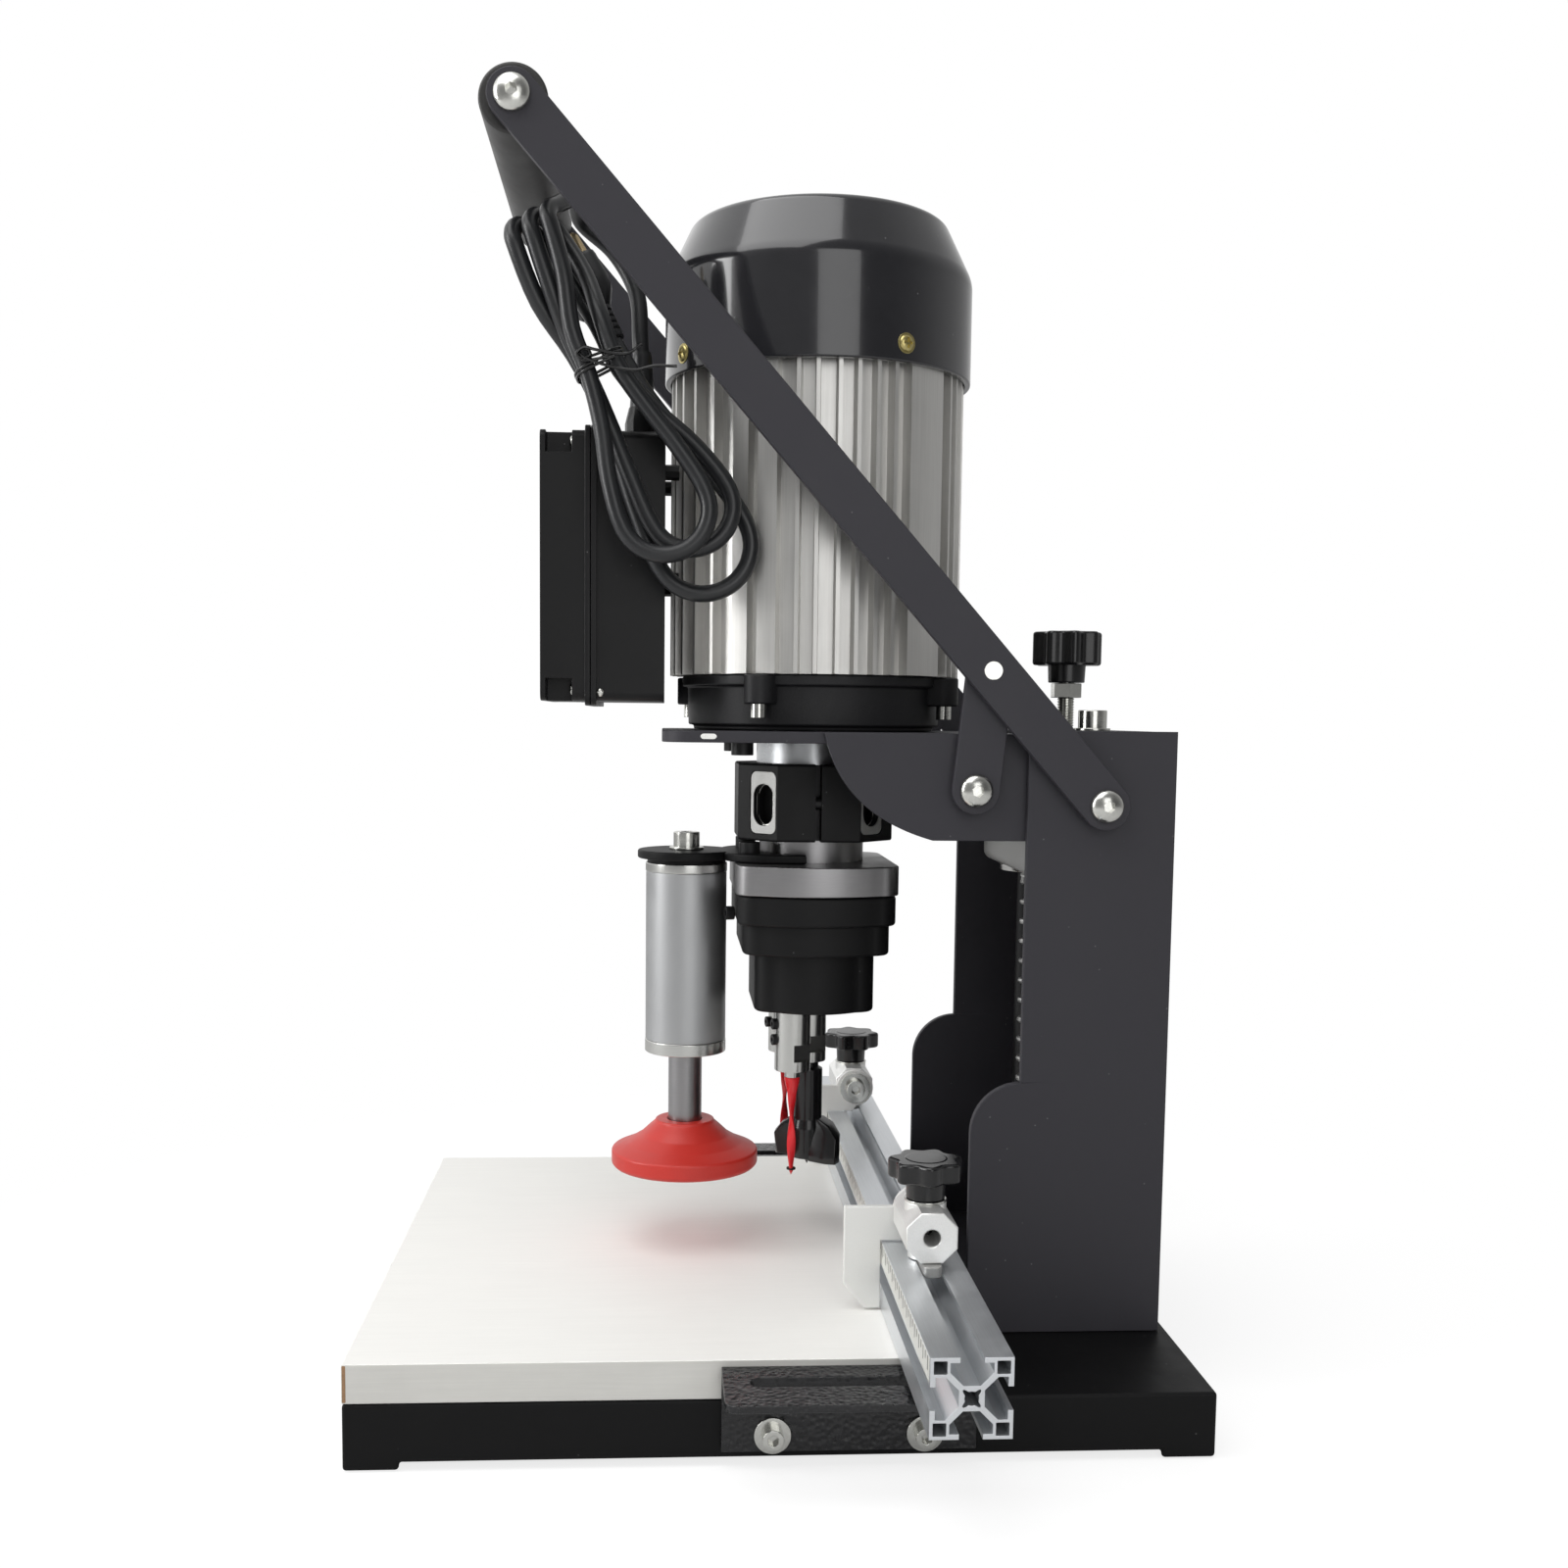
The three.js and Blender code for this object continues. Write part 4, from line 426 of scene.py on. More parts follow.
FINISHES = {
    "charcoal_powder_coat": dict(rgb=(51, 50, 55), rough=0.55, size=0.35, bump=0.35, depth=0.05, dust=0.25,
                                 level=0.3),
    "black_coat": dict(rgb=(12, 12, 13), rough=0.5, tone=0.2, size=0.45, bump=0.3, depth=0.05, dust=0.2,
                       level=0.18),
    "hammered": dict(rgb=(26, 26, 28), rough=0.3, tone=0.25, size=2.2, bump=1.0, depth=0.5, cells=True),
    "white_melamine": dict(rgb=(242, 241, 237), rough=0.5, tone=0.035, grain=(1, 0.03, 1), size=1.4,
                           bump=0.12, cloud=70),
    "board_edge": dict(rgb=(206, 205, 200), rough=0.55, tone=0.06, grain=(0.04, 0.04, 1), size=1.2,
                       bump=0.15),
    "ground_steel": dict(rgb=(196, 196, 193), rough=0.24, metal=1.0, tone=0.04, grain=ROUND_Z, size=0.35,
                         bump=0.05, depth=0.01, spread=0.04),
    "bright_steel": dict(rgb=(205, 205, 200), rough=0.2, metal=1.0, tone=0.15, size=1.5, bump=0.15,
                         depth=0.04),
    "spring_steel": dict(rgb=(176, 176, 174), rough=0.35, metal=0.8, tone=0.15, size=0.8, bump=0.1),
    "aluminium": dict(rgb=(196, 198, 200), rough=0.32, metal=1.0, tone=0.08, grain=ROUND_Z, size=0.4,
                      bump=0.15, depth=0.012),
    "head_metal": dict(rgb=(150, 149, 150), rough=0.34, metal=1.0, tone=0.06, grain=ROUND_Z, size=0.4,
                       bump=0.15, depth=0.012),
    "shell": dict(rgb=(206, 205, 202), rough=0.42, metal=0.9, grain=ALONG_Z, size=0.8, depth=0.02, cloud=60),
    "fence": dict(rgb=(218, 221, 224), rough=0.36, metal=0.85, tone=0.08, grain=ALONG_X, size=0.5,
                  depth=0.015, cloud=25),
    "bright_block": dict(rgb=(236, 236, 234), rough=0.42, metal=0.75, tone=0.08, grain=ALONG_X, size=0.5,
                         bump=0.25, depth=0.015, cloud=20),
    "block_metal": dict(rgb=(168, 168, 166), rough=0.5, metal=0.85, tone=0.14, size=0.7, bump=0.4, cloud=14),
    "satin_aluminium": dict(rgb=(176, 177, 178), rough=0.42, metal=0.95, tone=0.05, size=0.3, bump=0.3,
                            depth=0.02),
    "cast_black": dict(rgb=(28, 28, 30), rough=0.5, tone=0.25, size=0.9, bump=0.55, depth=0.12, dust=0.2,
                       level=0.3),
    "housing_black": dict(rgb=(14, 14, 15), rough=0.5, tone=0.15, size=0.3, bump=0.35, depth=0.04, dust=0.15,
                          level=0.22),
    "gloss_black": dict(rgb=(34, 34, 37), rough=0.16, tone=0.15, size=6, bump=0.12, depth=0.1, spread=0.05,
                        dust=0.3, coat=0.5),
    "black_plastic": dict(rgb=(16, 16, 17), rough=0.4, tone=0.15, size=0.5, dust=0.25, level=0.25),
    "shiny_plastic": dict(rgb=(20, 20, 21), rough=0.22, tone=0.15, size=2.5, bump=0.12, depth=0.05),
    "red_plastic": dict(rgb=(190, 44, 35), rough=0.4, tone=0.07, size=0.6, cloud=18),
    "red_coat": dict(rgb=(205, 30, 38), rough=0.3, size=0.6, depth=0.02),
    "winding": dict(rgb=(150, 84, 46), rough=0.5, metal=0.6, tone=0.3, grain=ALONG_Z, size=0.8, bump=0.6,
                    depth=0.2),
    "cord_rubber": dict(rgb=(27, 28, 30), rough=0.36, tone=0.15, size=0.6, bump=0.25),
    "white_coat": dict(rgb=(226, 226, 223), rough=0.42, tone=0.03, size=0.6, bump=0.25, dust=0.25),
    "zinc_yellow": dict(rgb=(190, 176, 118), rough=0.3, metal=1.0, tone=0.25, size=1.2),
    "brass": dict(rgb=(196, 176, 140), rough=0.3, metal=1.0, tone=0.15, grain=(1, 1, 0.1), size=0.6,
                  bump=0.1),
    "ruler": dict(rgb=(214, 214, 208), rough=0.5, tone=0.05, size=0.8, bump=0.1),
    "raw_board": dict(rgb=(150, 118, 88), rough=0.8, tone=0.25, size=0.9, bump=0.6, depth=0.2),
    # Dark finish of the black cap screws, the ruler's print and the bit points; on the guide shafts and in
    # the collar's split it is painted shade.
    "dark_finish_and_painted_shade": dict(rgb=(34, 34, 35), rough=0.45, metal=0.6, tone=0.2, size=0.6, bump=0.3),
    "grip_foam": dict(rgb=(38, 37, 36), rough=0.5, tone=0.15, size=0.5, bump=0.5, depth=0.08, dust=0.2),
}
LOOKS = {name: finish(name, **values) for name, values in FINISHES.items()}


def piece(name, mesh, body, slot, look=None, angle=38):
    """Adds a finished piece: metres, smooth where it curves, flat where it is flat."""
    mesh.transform(Matrix.Scale(MM, 4))
    mesh.materials.clear()
    mesh.materials.append(LOOKS[look or slot])
    mesh.shade_smooth()
    mesh.set_sharp_from_angle(angle=radians(angle))
    obj = linked(name, mesh)
    even = obj.modifiers.new("even", "WEIGHTED_NORMAL")
    even.keep_sharp = True
    obj.data = evaluated(obj)
    obj.data.name = name
    obj.modifiers.clear()
    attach(obj, body)
    return obj


def dress(node, mesh, slot, look=None, angle=38):
    """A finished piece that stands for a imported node."""
    obj = piece(node + "_skin", mesh, NODES[node]["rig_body"], slot, look, angle)
    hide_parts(node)
    return obj


def dress_pair(node, mesh, slot, look=None, angle=38):
    dress(node + "_L", mirrored(mesh), slot, look, angle)
    dress(node + "_R", mesh, slot, look, angle)


def bright(name, mesh, body):
    return piece(name, mesh, body, "ground_steel", "bright_steel")


def dark(name, mesh, body):
    return piece(name, mesh, body, "black_coat", "dark_finish_and_painted_shade")


# Screws. Each is made at the origin with its head towards +Z.
def cap_screw(radius, height, key, shank=0, shank_radius=0):
    head = slab([circle(0, 0, radius, 32), hexagon(key)], height * 0.35, height, edge=radius * 0.07)
    under = lathe(rect(0, 0, radius, height * 0.4), 32)
    parts = [head, under]
    if shank:
        parts.append(lathe(rect(0, -shank, shank_radius, 0.1), 24))
    return join(*parts)


def button_screw(radius, height, key):
    dome = [(0, 0), (radius, 0), (radius, height * 0.12)]
    dome += [(radius * cos(t), height * (0.12 + 0.88 * sin(t))) for t in (0.25, 0.5, 0.75, 1.0, 1.2)]
    dome += [(radius * 0.26, height), (0, height)]
    recess = slab([hexagon(key, 12)], height * 0.35, height + 1, edge=0.01, steps=0)
    return cut(lathe(dome, 40), recess)


def washer(radius, inner, thick):
    return ring(radius, inner, 0, thick, 0.3, 40)


def hex_nut(across, thick, bore):
    body = slab([hexagon(across)], 0, thick, edge=0.35)
    return cut(body, lathe(rect(0, -1, bore, thick + 1), 24))


def phillips(radius, height):
    dome = [(0, 0), (radius, 0)]
    dome += [(radius * cos(t), height * sin(t)) for t in (0.3, 0.6, 0.9, 1.2)] + [(0, height)]
    arms = [slab([rounded_box(-radius * a, -radius * b, radius * a, radius * b, 0.2, 2)], height * 0.4,
                 height + 1, edge=0.01, steps=0) for a, b in ((0.6, 0.16), (0.16, 0.6))]
    return cut(lathe(dome, 28), *arms)


def facing(direction):
    return Vector((0, 0, 1)).rotation_difference(Vector(direction)).to_matrix().to_4x4()


def aimed(mesh, direction, x=0.0, y=0.0, z=0.0):
    return moved(mesh, x, y, z, facing(direction))


# Frame of the machine
def base():
    dress("base_frame", refined("base_frame", 1.9, steps=4), "black_coat")
    low, high = span("table_board")
    board = slab([rounded_box(low.x, low.y, high.x, high.y, 0.6, 2)], low.z, high.z, edge=0.5)
    obj = dress("table_board", board, "white_melamine")
    obj.data.materials.append(LOOKS["board_edge"])
    for face in obj.data.polygons:
        if abs(face.normal.z) < 0.5:
            face.material_index = 1
    corner = rounded_box(-174.6, low.z + 0.6, -173.2, high.z - 0.5, 0.3, 2)
    strip = slab([corner], high.x - 0.6, high.x + 0.08, "x", 0.05)
    piece("board_worn_corner", strip, "frame", "white_melamine", "raw_board")


def column():
    low, high = span("column_shell")
    front, step = 106.0, 139.7
    side = [(high.y, low.z), (high.y, high.z)]
    side += arc(front + 10, high.z - 10, 10, 90, 180, 12)
    side += [(front, step)]
    side += arc(low.y + 22.6, step - 22.6, 22.6, 90, 180, 24)
    side += [(low.y, low.z)]
    hole = circle(*PIVOT, HOLE, 32)
    cheeks = [slab([side, hole], a, b, "x", 0.5) for a, b in ((high.x - 4, high.x), (low.x, low.x + 4))]
    rear = slab([rect(low.x + 3.2, low.z, high.x - 3.2, high.z - 0.2)], high.y - 4, high.y - 0.15, "y", 0.3)
    within = rounded_box(low.x + 3.2, low.y + 0.4, high.x - 3.2, high.y - 3.5, 0.4, 2)
    floor = slab([within], low.z, low.z + 4, "z", 0.4)
    dress("column_shell", join(*cheeks, rear, floor), "charcoal_powder_coat")
    dress("column_top_plate", refined("column_top_plate", 0.5), "charcoal_powder_coat")
    top = high.z
    for suffix, side_x in SIDE.items():
        x = side_x * GUIDE_X
        low_s, high_s = span("guide_shaft_" + suffix)
        profile = softened(rect(0, low_s.z, 10, high_s.z), 0.8)
        # The ground steel shafts are drawn in the dark finish: painted shade inside the column.
        dress("guide_shaft_" + suffix, moved(lathe(profile, 64), x, SLIDE_Y), "ground_steel", "dark_finish_and_painted_shade")
        screw = cap_screw(6.4, 8, 6)
        disc = washer(8, 4.2, 1.4)
        shown = join(moved(screw, x, SLIDE_Y, top + 1.1), moved(disc, x, SLIDE_Y, top - 0.28))
        bright("shaft_screw_" + suffix, shown, "frame")


def spring():
    wire, coil, curls = 1.4, 18.0, 19
    low, high = span("return_spring")
    start, climb = low.z + 4.2, high.z - low.z - 8.4
    points = [(coil * sin(t), SLIDE_Y - coil * cos(t), start + climb * t / (2 * pi * curls))
              for t in (2 * pi * k / 24 for k in range(curls * 24 + 1))]
    flat = [(coil * sin(t), SLIDE_Y - coil * cos(t)) for t in (2 * pi * k / 24 for k in range(24))]
    points = [(a, b, low.z + wire) for a, b in flat] + points + [(a, b, high.z - wire) for a, b in flat]
    obj = piece("return_spring_skin", tube(points, wire, 12), "frame", "spring_steel")
    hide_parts("return_spring")
    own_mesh(obj)


def round_curve(name, radius, steps):
    line = bpy.data.curves.new(name, "CURVE")
    line.dimensions = "3D"
    line.bevel_depth = radius
    line.bevel_resolution = steps
    line.use_fill_caps = True
    return line


def tube(points, radius, sides=16):
    line = round_curve("tube_work", radius, max(1, sides // 4 - 1))
    add_spline(line, points)
    return mesh_of(line)


# Carriage
def carriage():
    dress("slide_block", refined("slide_block", 0.8), "aluminium", "block_metal")
    low, high = span("slide_bearing_R")
    sleeve = softened([(10.3, low.z), (19, low.z), (19, low.z + 3), (16, low.z + 3), (16, high.z),
                       (10.3, high.z), (10.3, low.z)], 0.4)
    dress_pair("slide_bearing", moved(lathe(sleeve, 48), GUIDE_X, SLIDE_Y), "ground_steel")

    low, high = span("motor_plate")
    corner = 14
    shape = arc(high.x - corner, low.y + corner, corner, -90, 0, 12) + [(high.x, high.y), (low.x, high.y)]
    shape += arc(low.x + corner, low.y + corner, corner, 180, 270, 12)
    plate = slab([shape, circle(0, AXIS_Y, 26.8, 64)], low.z, high.z, "z", 0.5)
    dress("motor_plate", plate, "charcoal_powder_coat")
    for k, (x, y) in enumerate(((44, -15), (-44, -15), (47, 58), (-47, 58))):
        head = moved(cap_screw(5, 6, 4), turn=turn(180, "X"))
        dark(f"plate_screw_{k}", moved(head, x, y, low.z), "carriage")
    shape = rounded_box(-34.5, low.z + 1.6, -27.5, high.z - 1.2, 1.4, 4)
    ends = slab([shape], low.x + 1, high.x + 0.06, "x", 0.05)
    piece("plate_tap", ends, "carriage", "ground_steel")

    low, high = span("gusset_R")
    rear, shelf = span("column_top_plate")[0].y - 0.6, span("slide_block")[1].z
    top_front, low_front = rear - 92.9, rear - 45.4
    waist = (rear - 92.9 * 0.833, high.z - 46.2 * 0.632)
    control = (2 * waist[0] - (top_front + low_front) / 2, 2 * waist[1] - (high.z + low.z) / 2)
    side = [(high.y, low.z), (high.y, shelf), (rear, shelf), (rear, high.z)]
    side += curve((top_front, high.z), control, (low_front, low.z), 32)
    gusset = slab([side, circle(*LINK, HOLE, 24)], low.x, high.x, "x", 0.4)
    dress_pair("gusset", gusset, "charcoal_powder_coat")


def lever():
    low, high = span("lever_arm_R")
    inner, outer = high.x - 5, high.x
    loops = [strap(PIVOT, GRIP, 10.4), circle(*PIVOT, HOLE, 24), circle(*GRIP, HOLE, 24)]
    arm = slab(loops, inner, outer, "x", 0.55)
    boss = moved(ring(9, HOLE, low.x, inner + 0.5, 0.4, 40, "x"), 0, *PIVOT)
    boss_pin = moved(turned(rect(0, 81.2, 3.6, inner + 1), 0.3, 32, "x"), 0, *PIN)
    dress_pair("lever_arm", join(arm, boss, boss_pin), "charcoal_powder_coat")
    disc = slab([circle(*PIN, 3.9, 40)], outer - 0.4, outer + 0.12, "x", 0.08)
    bright("lever_pin_R", disc, "lever")
    other = slab([circle(*PIN, 3.9, 40)], -outer - 0.12, -outer + 0.4, "x", 0.08)
    bright("lever_pin_L", other, "lever")

    end = inner - 0.3
    profile = [(0, -end), (5, -end), (5, -end + 6), (6, -end + 6), (6, -end), (14.2, -end), (14.2, end),
               (6, end), (6, end - 6), (5, end - 6), (5, end), (0, end)]
    grip = turned(profile, 1.6, 96, "x", steps=4)
    dress("handle_grip", moved(grip, 0, *GRIP), "black_coat", "grip_foam", 50)
    low, high = span("pivot_bolt_R")
    for name, place, start, reach, body, radius in (
        ("pivot_bolt", PIVOT, low.x, outer, None, 7.2),
        ("link_bolt", LINK, span("link_bolt_R")[0].x, span("link_R")[1].x, None, 7.2),
        ("grip_bolt", GRIP, inner - 20, outer, "lever", 7.6),
    ):
        head = aimed(button_screw(radius, 4.3, 4.6), (1, 0, 0), x=reach + 0.25)
        shank = lathe(rect(0, start, SHANK, reach + 0.4), 32, "x")
        bolt = moved(join(head, shank), 0, *place)
        if body:
            bright(name + "_R", bolt.copy(), body)
            bright(name + "_L", mirrored(bolt), body)
        else:
            dress_pair(name, bolt, "ground_steel", "bright_steel")

    low, high = span("link_R")
    loops = [strap(LINK, PIN, 10.2), circle(*LINK, HOLE, 24), circle(*PIN, 5.8, 32)]
    link = slab(loops, high.x - 4, high.x, "x", 0.5)
    boss = moved(ring(8, HOLE, low.x, high.x - 3.5, 0.4, 40, "x"), 0, *LINK)
    dress_pair("link", join(link, boss), "charcoal_powder_coat")


# Motor
FINS = (-84, -76, -67.5, -58, -47.5, -11.9, -4.8, 3.3, 10.4, 17.9, 25.2, 57, 63, 71, 79, 87)
LANDS = ((-37.5, -31), (-27, -19.6), (32, 50.1))


def motor():
    z0, z1 = levels("motor_flange")
    body = [(26.8, z0), (56.5, z0), (56.5, z0 + 1.8), (59, z0 + 2.2), (59.3, z1 - 5), (61.9, z1 - 4.6),
            (61.9, z1), (50, z1), (50, z0 + 9), (26.8, z0 + 9), (26.8, z0)]
    parts = [turned(body, 0.9, 96)]
    for k in range(4):
        lug = slab([[(57, -6.5), (64.5, -6.5)] + arc(64.5, 0, 6.5, -90, 90, 12)[1:-1]
                    + [(64.5, 6.5), (57, 6.5)]], z1 - 13, z1, "z", 0.9)
        parts.append(moved(lug, turn=turn(-27 + 90 * k)))
    dress("motor_flange", on_axis(join(*parts)), "cast_black")
    for k in range(4):
        tip = moved(cap_screw(3.4, 6.5, 2.4), turn=turn(180, "X"), x=64.5, z=z1 - 12.6)
        bright(f"flange_bolt_{k}", moved(tip, 0, AXIS_Y, 0, turn(-27 + 90 * k)), "carriage")

    low, high = span("motor_spigot")
    profile = [(21.5, low.z), (26.5, low.z), (26.5, high.z - 2.6), (31, high.z - 2.6), (31, high.z),
               (21.5, high.z), (21.5, low.z)]
    dress("motor_spigot", on_axis(turned(profile, 0.4, 96)), "aluminium")

    low, high = span("motor_shell")
    root, tip = 62.6, 67.8
    marks = [(a - 0.75, a + 0.75, 1) for a in FINS] + [(a, b, 4) for a, b in LANDS]
    outline, lean = [], 0.35
    for half in (0, 180):
        for start, end, steps in sorted(marks):
            outline.append(polar(root, radians(start - lean + half)))
            outline += arc(0, 0, tip, start + half, end + half, steps)
            outline.append(polar(root, radians(end + lean + half)))
    shell = slab([outline, circle(0, 0, 56, 56)], low.z, high.z, "z", 0.12, 1)
    dress("motor_shell", on_axis(shell), "aluminium", "shell", 25)
    for node, look in (("motor_stator", "winding"), ("motor_rotor", "ground_steel"),
                       ("motor_end_bell", "cast_black"), ("cooling_fan", "black_plastic")):
        dress(node, refined(node, 0.3), look)

    low, high = span("fan_cover")
    z0, z1, shoulder = low.z, high.z, low.z + 45.8
    outer = softened([(68.3, z0), (70.8, z0), (70.8, shoulder), (58.5, z1), (50, z1)], 3.4, 6)
    inner = [(50, z1 - 2.2), (56.5, z1 - 2.4), (68.3, shoulder - 1.5), (68.3, z0)]
    side = lathe(outer + inner, 128)
    slots = [strap(polar(19, t), polar(46.5, t), 1.7) for t in (radians(30 * k) for k in range(12))]
    top = slab([circle(0, 0, 50.3, 128)] + slots, z1 - 2.2, z1 - 0.01, "z", 0.25)
    dress("fan_cover", on_axis(join(side, top)), "gloss_black")
    for k in range(4):
        screw = aimed(phillips(3.7, 1.9), (1, 0, 0), x=70.7, z=457.7)
        rim = aimed(ring(4.4, 3.2, 0, 0.5, 0.2, 28), (1, 0, 0), x=70.6, z=457.7)
        piece(f"cover_screw_{k}", moved(join(screw, rim), 0, AXIS_Y, 0, turn(27.2 + 90 * k)), "carriage",
              "ground_steel", "zinc_yellow")


def control_box():
    for node, edge, look in (("control_box_body", 0.7, None), ("control_box_lid", 0.7, None),
                             ("power_switch", 0.4, "shiny_plastic")):
        dress(node, refined(node, edge), "black_plastic", look)
    for k, (z, side_x) in enumerate(((412.6, 1), (307.5, 1), (412.6, -1), (307.5, -1))):
        dome = aimed(phillips(1.9, 1.2), (side_x, 0, 0), x=side_x * 44.9, y=-78.4, z=z)
        bright(f"box_screw_{k}", dome, "carriage")
    front = span("control_box_lid")[0].y
    for k, (x, z) in enumerate(((39, 417), (-39, 417), (39, 309), (-39, 309))):
        screw = aimed(phillips(3, 1.6), (0, -1, 0), x=x, y=front + 14.2, z=z)
        bright(f"lid_screw_{k}", screw, "carriage")


# Multi-spindle head
def head_outline(half_x, half_y):
    """The outline of the head: straight along X, with bulging ends."""
    bulge, corner = 9, 9
    end = half_x - bulge
    side, crown = end + corner * 0.15, half_x + bulge * 0.6
    shape = curve((end - corner, -half_y), (end, -half_y), (side, corner - half_y), 10)
    shape += curve((side, corner - half_y), (crown, 0), (side, half_y - corner), 16)[1:]
    shape += curve((side, half_y - corner), (end, half_y), (end - corner, half_y), 10)[1:]
    return shape + [(-a, -b) for a, b in shape]


def head():
    z0, z1 = levels("clamp_collar")
    body = slab([octagon(36, 17)], z0, z1, "z", 1.2, 3)
    bore = lathe(rect(0, z0 - 1, 26.8, z1 + 1), 96)
    split = slab([rect(20, -1.4, 40, 1.4)], z0 - 1, z1 + 1, "z", 0.01, 0)
    middle = (z0 + z1) / 2
    hole = moved(lathe(rect(0, -12, 3.2, 12), 32, "y"), 32, 0, middle)
    pockets, frames, arcs = [], [], []
    for side_y, angle, shift in ((-1, 45, 3.3), (1, 135, -3.3)):
        corner = Matrix.Translation((27.5, side_y * 27.5, middle))
        place = corner @ turn(angle) @ Matrix.Translation((shift, 0, 0))
        outer = rounded_box(-7.9, -14.6, 7.9, 14.6, 3.4, 6)
        inner = rounded_box(-6, -10.6, 6, 8.6, 5.8, 10)
        for store, loops, near, far, edge, steps in (
            (pockets, [outer], -2, 0.8, 0.05, 1),
            (pockets, [inner], -1, 8, 0.05, 1),
            (frames, [rounded_box(-7.6, -14.3, 7.6, 14.3, 3.2, 6), inner], 0.2, 0.8, 0.2, 2),
            (arcs, [inner, rounded_box(-5.8, -10.2, 3.8, 8.2, 4.7, 10)], 2.5, 4, 0.1, 1),
        ):
            store.append(moved(slab(loops, near, far, "y", edge, steps), turn=place))
    collar = cut(body, bore, split, hole, *pockets)
    dress("clamp_collar", on_axis(collar), "cast_black", "housing_black", 30)
    piece("collar_frames", on_axis(join(*frames)), "carriage", "ground_steel", "block_metal")
    bright("collar_arcs", on_axis(join(*arcs)), "carriage")
    screw = moved(lathe(rect(0, -11.5, 3, 11.5), 32, "y"), 32, AXIS_Y, middle)
    # A dark strip inside the collar's split, joined to the screw, is painted shade: it hides the spigot and
    # darkens the narrow gap.
    painted_shade_strip = slab([rect(27.2, -1.3, 28.2, 1.3)], z0 + 0.4, z1 - 0.4, "z", 0.05, 1)
    screw = join(screw, on_axis(painted_shade_strip))
    dark("collar_screw_and_painted_shade", screw, "carriage")

    low, high = span("head_plate")
    top = 230.0
    plate = slab([head_outline(51, 37.5)], low.z, top, "z", 0.6)
    neck = turned([(9.3, top - 1), (24.75, top - 1), (24.75, 240.2), (24.75, 240.6), (26.5, 240.8),
                   (26.5, high.z), (9.3, high.z), (9.3, top - 1)], 0.3, 96)
    dress("head_plate", on_axis(join(plate, neck)), "aluminium", "head_metal")

    low, high = span("gear_housing")
    tiers = [(1, 1, 216.2, 202.5), (4, 3.5, 203.5, 188.5), (11, 9.5, 189.5, low.z)]
    tiers = [slab([head_outline(51 - a, 37.5 - b)], z_low, z_high, "z", 1.5, 3)
             for a, b, z_high, z_low in tiers]
    dress("gear_housing", on_axis(join(*tiers)), "cast_black", "housing_black")
    side_bolt = aimed(cap_screw(3.2, 4, 2.5), (0.25, -1, 0), x=18, y=-17.2, z=206)
    dark("housing_bolt_0", side_bolt, "carriage")

    for node, x, y, top_radius, bit_radius in (
        ("drive_spindle", 0, 0, 9, 5.3),
        ("side_spindle_R", SPINDLE_X, -SPINDLE_AHEAD, 5, 4.3),
        ("side_spindle_L", -SPINDLE_X, -SPINDLE_AHEAD, 5, 4.3),
    ):
        low, high = span(node)
        radius = 8.4
        profile = [(bit_radius, low.z), (radius, low.z), (radius, 189.4), (6, 189.4), (6, 204),
                   (top_radius, 204), (top_radius, high.z), (0, high.z), (0, low.z + 18),
                   (bit_radius, low.z + 18), (bit_radius, low.z)]
        shaft = turned(profile, 0.5, 64, steps=2)
        flats = [moved(slab([rect(6.0, -9, 10, 9)], low.z + 5, low.z + 13, "z", 0.01, 0), turn=turn(a))
                 for a in (45, 225)]
        wheel = slab([gear_outline()], 192, 204, "z", 0.1, 1)
        dress(node, moved(join(cut(shaft, *flats), wheel), x, AXIS_Y + y), "ground_steel", None, 30)
        for k, z in enumerate((154.5, 147.1)):
            screw = aimed(cap_screw(2.6, 2.6, 1.9), (0.25, -1, 0), x=x + 1.6, y=AXIS_Y + y - 7.4, z=z)
            dark(f"{node}_set_{k}", screw, NODES[node]["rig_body"])


def gear_outline():
    pitch, teeth = hypot(SPINDLE_X, SPINDLE_AHEAD) / 2, 16
    tooth = ((-0.24, pitch - 1.5), (-0.07, pitch + 0.6), (0.07, pitch + 0.6), (0.24, pitch - 1.5))
    return [polar(radius, 2 * pi * (k + share) / teeth) for k in range(teeth) for share, radius in tooth]


